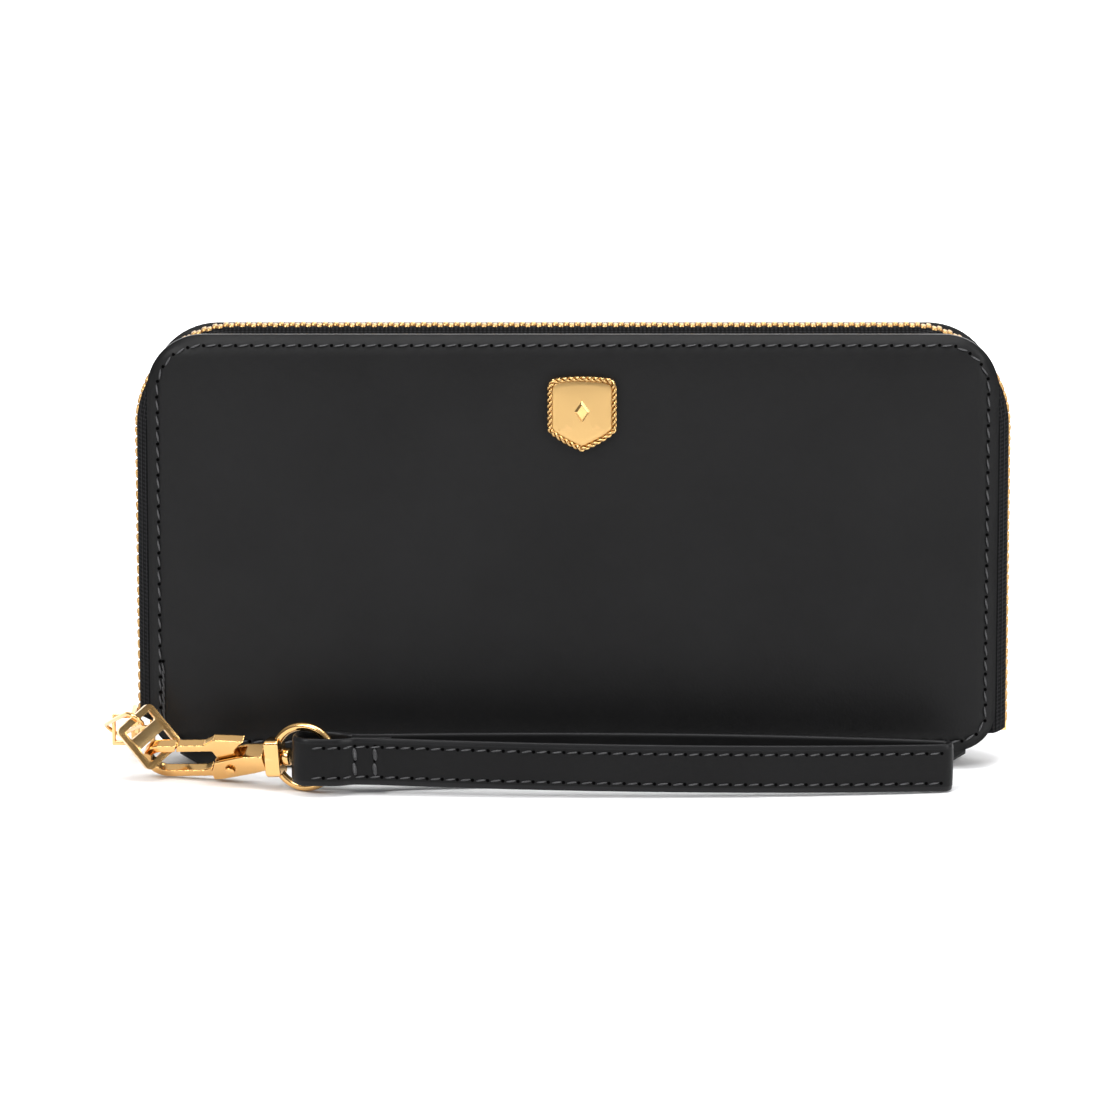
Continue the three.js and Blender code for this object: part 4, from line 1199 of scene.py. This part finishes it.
@dataclass
class Badge:
    """The shield on the front cover: a twisted rope round a plain domed plate."""

    palette: Palette
    x: float = 2.1
    z: float = 85.6
    width: float = 16.4
    height: float = 18.2
    back: float = 11.55
    strand: float = 0.34
    twist: float = 2.9
    wind: float = 0.34
    rope_inset: float = 0.72
    rope_steps: int = 14

    def shield(self, inset: float) -> list[Vector]:
        """Draws the shield's outline, some way within its outer edge."""
        half, top = self.width / 2 - inset, self.height / 2 - inset
        shoulder, tip = -self.height * 0.2, -self.height / 2 + inset * 1.15
        curves = (
            ((0, tip), (half * 0.75, tip + 2.4), (half, shoulder)),
            ((half, shoulder), (half, 0), (half, top - 2.4)),
            ((half, top - 2.4), (half, top - 0.5), (half - 2.2, top - 0.35)),
            ((half - 2.2, top - 0.35), (0, top + 0.35), (2.2 - half, top - 0.35)),
            ((2.2 - half, top - 0.35), (-half, top - 0.5), (-half, top - 2.4)),
            ((-half, top - 2.4), (-half, 0), (-half, shoulder)),
            ((-half, shoulder), (-half * 0.75, tip + 2.4), (0, tip)))
        points = []
        for a, b, c in curves:
            for step in range(8):
                t = step / 8
                x, z = ((1 - t) ** 2 * p + 2 * t * (1 - t) * q + t * t * r for p, q, r in zip(a, b, c))
                points.append(Vector((self.x + x, 0, self.z + z)))
        return points

    def rope(self) -> bpy.types.Object:
        """Twists two strands round the shield."""
        line = self.shield(self.rope_inset)
        total = sum((b - a).length for a, b in zip(line, line[1:] + line[:1]))
        turns = round(total / self.twist)
        stations = walk(line, total / (turns * self.rope_steps), closed=True)
        depth = Vector((0, -1, 0))
        strands = []
        for phase in (0.0, math.pi):
            run = []
            for index, (place, along) in enumerate(stations):
                angle = phase + 2 * math.pi * turns * index / len(stations)
                across = depth.cross(along)
                offset = across * math.cos(angle) * self.wind + depth * math.sin(angle) * self.wind
                run.append(place + depth * (self.back + 2 * self.wind) + offset)
            strands.append(run)
        piece = tube("badge_rope", strands, self.strand, True, 3)
        # The rope wears the darkened copy of the plating, painted shade between its strands.
        self.palette.dress(piece, Slot.GOLD, special=self.palette.shaded_rope_gold)
        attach(piece, "front_half")
        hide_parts("badge_rope_frame")
        return piece

    def _stack(self, name: str, levels: Sequence[Point],
               special: Finish | None = None) -> bpy.types.Object:
        """Builds a shield from outlines one within the other.

        Args:
            name: the piece's name.
            levels: each outline's inset and its height over the leather.
            special: a finish in place of the usual plating.

        Returns:
            The closed shield.
        """
        bm = bmesh.new()
        loops = []
        for inset, height in levels:
            depth = Vector((0, -self.back - height, 0))
            loops.append(closed_ring(bm, [point + depth for point in self.shield(inset)]))
        for first, second in zip(loops, loops[1:]):
            bmesh.ops.bridge_loops(bm, edges=first + second)
        for loop in (loops[0], loops[-1]):
            bmesh.ops.contextual_create(bm, geom=loop)
        piece = finish_mesh(name, bm)
        self.palette.dress(piece, Slot.GOLD, special=special)
        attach(piece, "front_half")
        return piece

    def plate(self) -> bpy.types.Object:
        """Builds the domed plate, flat enough to shine evenly."""
        levels = ((1.2, -0.05), (1.2, 0.5), (1.27, 0.62), (1.45, 0.7), (2.4, 0.74), (3.6, 0.8),
                  (4.8, 0.84), (5.8, 0.86))
        piece = self._stack("badge_face", levels, self.palette.satin_gold)
        round_edges(piece, 0.04, 2, 40)
        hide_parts("badge_plate")
        return piece

    def lozenge(self) -> bpy.types.Object:
        """Builds the plain raised lozenge in the middle of the plate."""
        bm = bmesh.new()
        bmesh.ops.create_cone(bm, cap_ends=True, segments=4, radius1=2.5, radius2=1.5, depth=0.5,
                              matrix=Matrix.Rotation(math.pi / 2, 4, "X"))
        bmesh.ops.scale(bm, vec=(0.8, 1, 1.15), verts=bm.verts)
        bmesh.ops.translate(bm, vec=(self.x, -self.back - 1.0, self.z + 0.6), verts=bm.verts)
        piece = finish_mesh("badge_lozenge", bm)
        round_edges(piece, 0.12, 3)
        self.palette.dress(piece, Slot.GOLD)
        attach(piece, "front_half")
        return piece

    def seat(self) -> bpy.types.Object:
        """Builds the backing plate that the prongs hold, sunk a little into the leather."""
        return self._stack("badge_seat", ((0.35, -0.6), (0.35, -0.05), (0.45, 0.05), (1.0, 0.08)))

    def build(self) -> None:
        """Builds the badge."""
        self.seat()
        self.rope()
        self.plate()
        self.lozenge()
        LOG.info("badge, %.1f by %.1f mm", self.width, self.height)


# ---------------------------------------------------------------- pull, clasp and ring


@dataclass
class Slider:
    """The main zip's slider, a tapered plate on each side of the teeth."""

    palette: Palette
    outer_face: float = -102.45
    inner_face: float = -99.25
    plate: float = 1.2
    half_width: float = 4.3
    bottom: float = 2.5
    height: float = 10.0
    tail: float = 0.62
    neck: tuple[float, float, float] = (0.6, 2.6, 4.8)
    lip: Point = (1.3, 0.8)
    lip_height: float = 0.45
    lip_place: float = 0.72

    def _wing(self, bm: bmesh.types.BMesh, low: float, high: float) -> None:
        """Adds one plate, narrower at its lower end."""
        made = add_box(bm, (high - low, 2 * self.half_width, self.height),
                       ((low + high) / 2, 0, self.bottom + self.height / 2))
        faces = {f for v in made for f in v.link_faces}
        edges = list({e for f in faces for e in f.edges})
        tall = [e for e in edges if abs((e.verts[0].co - e.verts[1].co).z) > self.height / 2]
        bmesh.ops.subdivide_edges(bm, edges=tall, cuts=7, use_grid_fill=True)
        near = [v for v in bm.verts if low - 0.01 <= v.co.x <= high + 0.01]
        for vert in near:
            up = (vert.co.z - self.bottom) / self.height
            narrow = self.tail + (1 - self.tail) * math.sin(min(1.0, up / 0.8) * math.pi / 2) ** 1.5
            vert.co.y *= narrow

    def build(self) -> None:
        """Builds the slider and rounds its crown."""
        bm = bmesh.new()
        self._wing(bm, self.outer_face - self.plate, self.outer_face)
        self._wing(bm, self.inner_face, self.inner_face + self.plate)
        span = self.inner_face - self.outer_face + self.plate
        deep, tall, up = self.neck
        add_box(bm, (span, deep, tall), ((self.outer_face + self.inner_face) / 2, 0, self.bottom + up))
        for side in (-1, 1):
            add_box(bm, (*self.lip, self.height * self.lip_height),
                    (self.outer_face + 0.15, side * (self.half_width - 0.42),
                     self.bottom + self.height * self.lip_place))
        piece = finish_mesh("slider_plates", bm)
        round_edges(piece, 0.4, 3)
        self.palette.dress(piece, Slot.GOLD)
        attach(piece, "slider")
        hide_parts("slider_body")
        softened("slider_crown", "slider", self.palette, 0.35)
        LOG.info("slider, %.1f mm tall", self.height)


@dataclass
class Clasp:
    """The lobster clasp with its swivel, and the tab and link that it hangs on."""

    palette: Palette
    ring_centre: Vector = field(default_factory=lambda: Vector((-62.2, -29.5, 8.3)))
    pitch: float = -5.0
    yaw: float = -18.0
    ring_radius: float = 7.2
    wire: float = 1.0
    block: tuple[float, float, float] = (3.8, 5.2, 8.8)
    bore: float = 1.35
    steps: int = 96

    @property
    def ring_place(self) -> Matrix:
        """The ring's place and turn."""
        yaw = Matrix.Rotation(math.radians(self.yaw), 4, "Z")
        pitch = Matrix.Rotation(math.radians(self.pitch), 4, "Y")
        return Matrix.Translation(self.ring_centre) @ (yaw @ pitch)

    def ring(self) -> None:
        """Builds the round wire, and the block that turns on the pin."""
        place = self.ring_place
        circle = []
        for step in range(self.steps):
            angle = 2 * math.pi * step / self.steps
            spot = (self.ring_radius * math.cos(angle), 0, self.ring_radius * math.sin(angle))
            circle.append(place @ Vector(spot))
        keep = [p for p in circle if (place.inverted() @ p).x > -self.ring_radius + 0.6]
        start = next(i for i in range(self.steps) if circle[i] in keep and circle[i - 1] not in keep)
        run = [circle[(start + i) % self.steps] for i in range(len(keep))]
        wire = tube("ring_wire", [run], self.wire, False, 5)
        self.palette.dress(wire, Slot.GOLD)
        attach(wire, "ring")
        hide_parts("swivel_ring")
        bm = bmesh.new()
        for radius in (self.bore, self.bore + 0.85):
            bmesh.ops.create_circle(bm, cap_ends=False, segments=32, radius=radius)
        bmesh.ops.bridge_loops(bm, edges=list(bm.edges))
        rim = [v for v in bm.verts if v.co.length > self.bore + 0.65]
        for vert in rim:
            grow = max(abs(vert.co.x) / (self.block[1] / 2), abs(vert.co.y) / (self.block[2] / 2))
            vert.co = Vector((vert.co.x / grow, vert.co.y / grow, 0))
        grown = bmesh.ops.extrude_face_region(bm, geom=list(bm.faces))
        bmesh.ops.translate(bm, vec=(0, 0, self.block[0]), verts=only(bmesh.types.BMVert, grown["geom"]))
        bmesh.ops.translate(bm, vec=(0, 0, -self.block[0] / 2), verts=bm.verts)
        upright = Matrix(((0, 0, 1, 0), (1, 0, 0, 0), (0, 1, 0, 0), (0, 0, 0, 1)))
        bmesh.ops.transform(bm, matrix=place @ Matrix.Translation((-self.ring_radius, 0, 0)) @ upright,
                            verts=bm.verts)
        block = finish_mesh("ring_block", bm)
        round_edges(block, 0.6, 4, 40)
        self.palette.dress(block, Slot.GOLD)
        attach(block, "ring")
        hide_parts("swivel_ring")

    def build(self) -> None:
        """Builds the metal between the slider and the strap."""
        for node, body, width, segments, cast in (
                ("pull_link", "link", 0, 3, False), ("pull_tab", "tab", 0.32, 4, False),
                ("hook_body", "hook", 0.6, 3, True), ("hook_gate", "gate", 0.4, 3, True),
                ("gate_rivet", "hook", 0.2, 3, False), ("gate_spring", "hook", 0.2, 3, False),
                ("swivel_pin", "hook", 0.45, 4, False), ("zip_stop", "front_half", 0.35, 3, False)):
            softened(node, body, self.palette, width, segments, cast)
        self.ring()
        LOG.info("clasp and ring, wire of %.1f mm", 2 * self.wire)


# ---------------------------------------------------------------- wrist strap


@dataclass
class WristStrap:
    """The looped strap: one band folded round the ring, with a filler where it is sewn."""

    palette: Palette
    pivot: Vector = field(default_factory=lambda: Vector((-55.38, -31.72, 8.3)))
    turn: float = 1.0
    droop: float = 0.92
    width: float = 11.3
    thickness: float = 1.35
    reach: float = 9.7
    fold_half: float = 3.65
    sewn_start: float = 1.5
    sewn_end: float = 9.0
    sewn_half: float = 1.85
    length: float = 145.0
    loop_half: float = 6.4
    end_half: float = 1.85
    inset: float = 2.1
    tacks: tuple[float, float] = (4.9, 9.6)
    tack_rise: float = 1.75
    pitch: float = 3.5
    first_stitch: float = 1.5
    filler_length: float = 9.2
    filler_middle: float = 7.2

    @property
    def place(self) -> Matrix:
        """The strap's place and turn."""
        return (Matrix.Translation(self.pivot) @ Matrix.Rotation(math.radians(self.turn), 4, "Z")
                @ Matrix.Rotation(math.radians(self.droop), 4, "Y"))

    def half_line(self, steps: int = 40) -> list[Point]:
        """Draws the back layer's middle from the fold to the far end, as X and depth."""
        fold_x = -self.reach + self.fold_half + self.thickness / 2
        points = [(fold_x - self.fold_half * math.sin(a), self.fold_half * math.cos(a))
                  for a in (math.radians(90 - 15 * s) for s in range(6))]
        points += [(fold_x, self.fold_half), (self.sewn_start - 2, self.fold_half),
                   (self.sewn_start, self.fold_half - 0.15), (self.sewn_start + 1.6, self.sewn_half + 0.7),
                   (self.sewn_start + 3, self.sewn_half), (self.sewn_start + 5, self.sewn_half)]
        start, end = (self.sewn_end, self.sewn_half), (self.length - 4, self.end_half)
        middle = (self.length * 0.55, 2 * self.loop_half - 2.6 - self.thickness * 0.55)
        for step in range(steps + 1):
            t = step / steps
            points.append(tuple((1 - t) ** 2 * a + 2 * t * (1 - t) * b + t * t * c
                                for a, b, c in zip(start, middle, end)))
        points += [(self.length - 4 + self.end_half * math.sin(a), self.end_half * math.cos(a))
                   for a in (math.radians(18 * s) for s in range(1, 6))]
        return points

    def loop_line(self) -> list[Vector]:
        """Draws the whole closed loop's middle line, seen from above."""
        back = self.half_line()
        front = [(x, -y) for x, y in reversed(back)]
        return [Vector((x, y, 0)) for x, y in back[:-1] + front[:-1]]

    def band(self) -> bpy.types.Object:
        """Builds the band with its rounded, painted edges."""
        line = self.loop_line()
        count = len(line)
        half, thick = self.width / 2, self.thickness / 2
        profile = [(-half + 0.45, thick), (-half + 1.2, thick), (-self.inset - 2.6, thick),
                   (0.0, thick + 0.06), (self.inset + 2.6, thick), (half - 1.2, thick), (half - 0.45, thick),
                   (half, thick - 0.4), (half, 0.4 - thick), (half - 0.45, -thick), (0.0, -thick),
                   (-half + 0.45, -thick), (-half, 0.4 - thick), (-half, thick - 0.4)]
        bm = bmesh.new()
        loops = []
        for index, place in enumerate(line):
            along = (line[(index + 1) % count] - line[index - 1]).normalized()
            out = along.cross(Vector((0, 0, 1)))
            loops.append(closed_ring(bm, [place + out * away + Vector((0, 0, up)) for up, away in profile]))
        for first, second in zip(loops, loops[1:] + loops[:1]):
            bmesh.ops.bridge_loops(bm, edges=first + second)
        bmesh.ops.recalc_face_normals(bm, faces=bm.faces)
        for face in bm.faces:
            face.material_index = 1 if abs(face.normal.z) > 0.6 else 0
        bmesh.ops.transform(bm, matrix=self.place, verts=bm.verts)
        piece = finish_mesh("strap_band", bm)
        smooth = piece.modifiers.new("smooth leather", "SUBSURF")
        smooth.levels = smooth.render_levels = 1
        # The strap wears the darker copy of the leather, which paints in its shade.
        self.palette.dress(piece, Slot.LEATHER, Slot.EDGE, special=self.palette.strap_leather)
        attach(piece, "strap")
        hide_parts("wrist_strap")
        return piece

    def filler(self) -> bpy.types.Object:
        """Builds the end of the strap between the two layers where they are sewn."""
        bm = bmesh.new()
        add_box(bm, (self.filler_length, 2 * self.sewn_half - self.thickness + 0.02, self.width - 0.3),
                (self.sewn_start + self.filler_middle, 0, 0))
        bmesh.ops.transform(bm, matrix=self.place, verts=bm.verts)
        piece = finish_mesh("strap_filler", bm)
        round_edges(piece, 0.35, 3)
        self.palette.dress(piece, Slot.EDGE)
        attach(piece, "strap")
        return piece

    def stitches(self) -> None:
        """Sews both layers along both edges, and the tack rows across the sewn part."""
        stations, heavy = [], []
        turn = self.place.to_3x3()
        for sign in (-1, 1):
            line = [Vector((x, sign * y, 0)) for x, y in self.half_line(80)[6:-5]]
            walked = walk(line, self.pitch, offset=self.first_stitch)
            rows = [(up, place, along) for up in (-1, 1) for place, along in walked]
            for up, place, along in rows:
                out = Vector((0, 0, 1)).cross(along)
                out = out if out.y * sign > 0 else -out
                rise = Vector((0, 0, up * (self.width / 2 - self.inset)))
                spot = place + out * (self.thickness / 2 + 0.02) + rise
                stations.append((self.place @ spot, turn @ along, turn @ out))
            for x in self.tacks:
                for up in (-self.tack_rise, self.tack_rise):
                    spot = Vector((x, sign * (self.sewn_half + self.thickness / 2 + 0.08), up))
                    heavy.append((self.place @ spot, turn @ Vector((0, 0, 1)), turn @ Vector((0, sign, 0))))
        sewing = Sewing(self.palette, stitch=2.4, width=0.42, height=0.3, slant=9)
        sewing.sew("strap_stitches", "strap", stations)
        tack = Sewing(self.palette, stitch=3.1, width=1.0, height=0.5, slant=8)
        tack.sew("strap_tacks", "strap", heavy)

    def build(self) -> None:
        """Builds the strap."""
        self.band()
        self.filler()
        self.stitches()
        LOG.info("wrist strap, %.0f mm long", self.length)


# ---------------------------------------------------------------- studio


@dataclass
class Studio:
    """The camera, the soft lights and the pale floor."""

    target: tuple[float, float, float] = (-0.003, 0.0, 0.04829)
    distance: float = 1.845
    elevation: float = 12.66
    lens: float = 253.4
    # The floor glows only behind the wallet: from and to which Y in metres, and how strongly at each.
    glow: tuple[float, float, float, float] = (0.03, 0.30, 0.0, 0.75)
    floor_half: float = 4000.0
    sweep: tuple[Point, ...] = (
        (-3000, 0), (0, 0), (1500, 0), (2000, 60), (2350, 250), (2550, 600), (2600, 1200), (2600, 4000))
    panels: tuple[tuple[str, tuple[float, float, float], Point, float], ...] = (
        ("key", (-0.55, -0.80, 0.70), (0.5, 0.35), 7.5),
        ("fill", (0.80, -0.60, 0.50), (0.4, 0.5), 5.0),
        ("top", (0.1, -0.25, 1.1), (0.9, 0.4), 9.0),
        ("rear", (0.2, 1.0, 0.8), (0.9, 0.4), 6.0))

    def camera(self) -> None:
        """Places the camera in front of the wallet, a little above it."""
        data = bpy.data.cameras.new("camera")
        data.lens, data.sensor_width, data.clip_start = self.lens, 36.0, 0.01
        camera = bpy.data.objects.new("camera", data)
        rise = math.radians(self.elevation)
        back = Vector((0, -math.cos(rise), math.sin(rise)))
        camera.location = Vector(self.target) + back * self.distance
        camera.rotation_euler = (-back).to_track_quat("-Z", "Y").to_euler()
        bpy.context.scene.collection.objects.link(camera)
        bpy.context.scene.camera = camera

    @staticmethod
    def panel_light(name: str, place: Sequence[float], size: Point, power: float) -> None:
        """Hangs a soft panel of light that faces the wallet.

        Args:
            name: the light's name.
            place: where it hangs, in metres.
            size: its width and height in metres.
            power: its power in watts.
        """
        data = bpy.data.lights.new(name, "AREA")
        data.shape = "RECTANGLE"
        data.size, data.size_y = size
        data.energy = power
        light = bpy.data.objects.new(name, data)
        light.location = place
        towards = Vector((0, 0, 0.05)) - Vector(place)
        light.rotation_euler = towards.to_track_quat("-Z", "Y").to_euler()
        bpy.context.scene.collection.objects.link(light)

    def lights(self) -> None:
        """Hangs the lights and gives the room its pale colour."""
        for panel in self.panels:
            self.panel_light(*panel)
        world = bpy.data.worlds.new("room")
        world.use_nodes = True
        shade = Shade(world.node_tree)
        output = world.node_tree.nodes["World Output"]
        room = world.node_tree.nodes["Background"]
        place = shade.node("TexCoord")
        parts = shade.node("SeparateXYZ")
        ramp = shade.node("ValToRGB")
        shade.join(place.outputs["Generated"], parts.inputs[0])
        shade.join(shade.sum("ADD", shade.sum("MULTIPLY", parts.outputs["Z"], 0.5), 0.5), ramp.inputs["Fac"])
        stops = ramp.color_ramp.elements
        stops[0].position, stops[0].color = 0.50, (0.30, 0.29, 0.28, 1)
        stops[1].position, stops[1].color = 0.95, (0.85, 0.86, 0.90, 1)
        middle = stops.new(0.66)
        middle.color = (0.16, 0.16, 0.165, 1)
        shade.join(ramp.outputs["Color"], room.inputs["Color"])
        room.inputs["Strength"].default_value = 0.9
        white = shade.node("Background", Color=(1, 1, 1, 1), Strength=1.0)
        rays = shade.node("LightPath")
        mix = shade.node("MixShader")
        shade.join(rays.outputs["Is Camera Ray"], mix.inputs[0])
        shade.join(room.outputs[0], mix.inputs[1])
        shade.join(white.outputs[0], mix.inputs[2])
        shade.join(mix.outputs[0], output.inputs["Surface"])
        bpy.context.scene.world = world

    def floor(self) -> None:
        """Lays a pale sweep under and behind the wallet."""
        bm = bmesh.new()
        edges = open_profile(bm, [(-self.floor_half, y, z) for y, z in self.sweep])
        extend(bm, edges, Vector((2 * self.floor_half, 0, 0)))
        piece = finish_mesh("floor", bm)
        paper = bpy.data.materials.new("paper")
        paper.use_nodes = True
        shader = paper.node_tree.nodes["Principled BSDF"]
        shader.inputs["Base Color"].default_value = (0.93, 0.93, 0.93, 1)
        shader.inputs["Roughness"].default_value = 0.9
        shader.inputs["Emission Color"].default_value = (1, 1, 1, 1)
        shade = Shade(paper.node_tree)
        place = shade.node("TexCoord")
        reach = shade.node("SeparateXYZ")
        shade.join(place.outputs["Object"], reach.inputs[0])
        glow = shade.node("MapRange")
        for name, value in zip(("From Min", "From Max", "To Min", "To Max"), self.glow):
            glow.inputs[name].default_value = value
        shade.join(reach.outputs["Y"], glow.inputs["Value"])
        shade.join(glow.outputs["Result"], shader.inputs["Emission Strength"])
        piece.data.materials.append(paper)

    def build(self) -> None:
        """Sets up the studio."""
        self.camera()
        self.lights()
        self.floor()
        bpy.context.scene.view_settings.view_transform = "Standard"


def main() -> None:
    """Builds the wallet round its frame."""
    logging.basicConfig(level=logging.INFO, format="%(name)s: %(message)s")
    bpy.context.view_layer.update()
    Studio().build()
    palette = Palette()
    for side in Side:
        Cover(palette, side, **({} if side is Side.FRONT else {"top": 103.2, "radii": (16.0, 12.0)})).build()
        Inside(palette, side).build()
        ZipHalf(palette, side).build()
    Spine(palette).build()
    Divider(palette).build()
    Badge(palette).build()
    Slider(palette).build()
    Clasp(palette).build()
    WristStrap(palette).build()


if __name__ == "__main__":
    main()
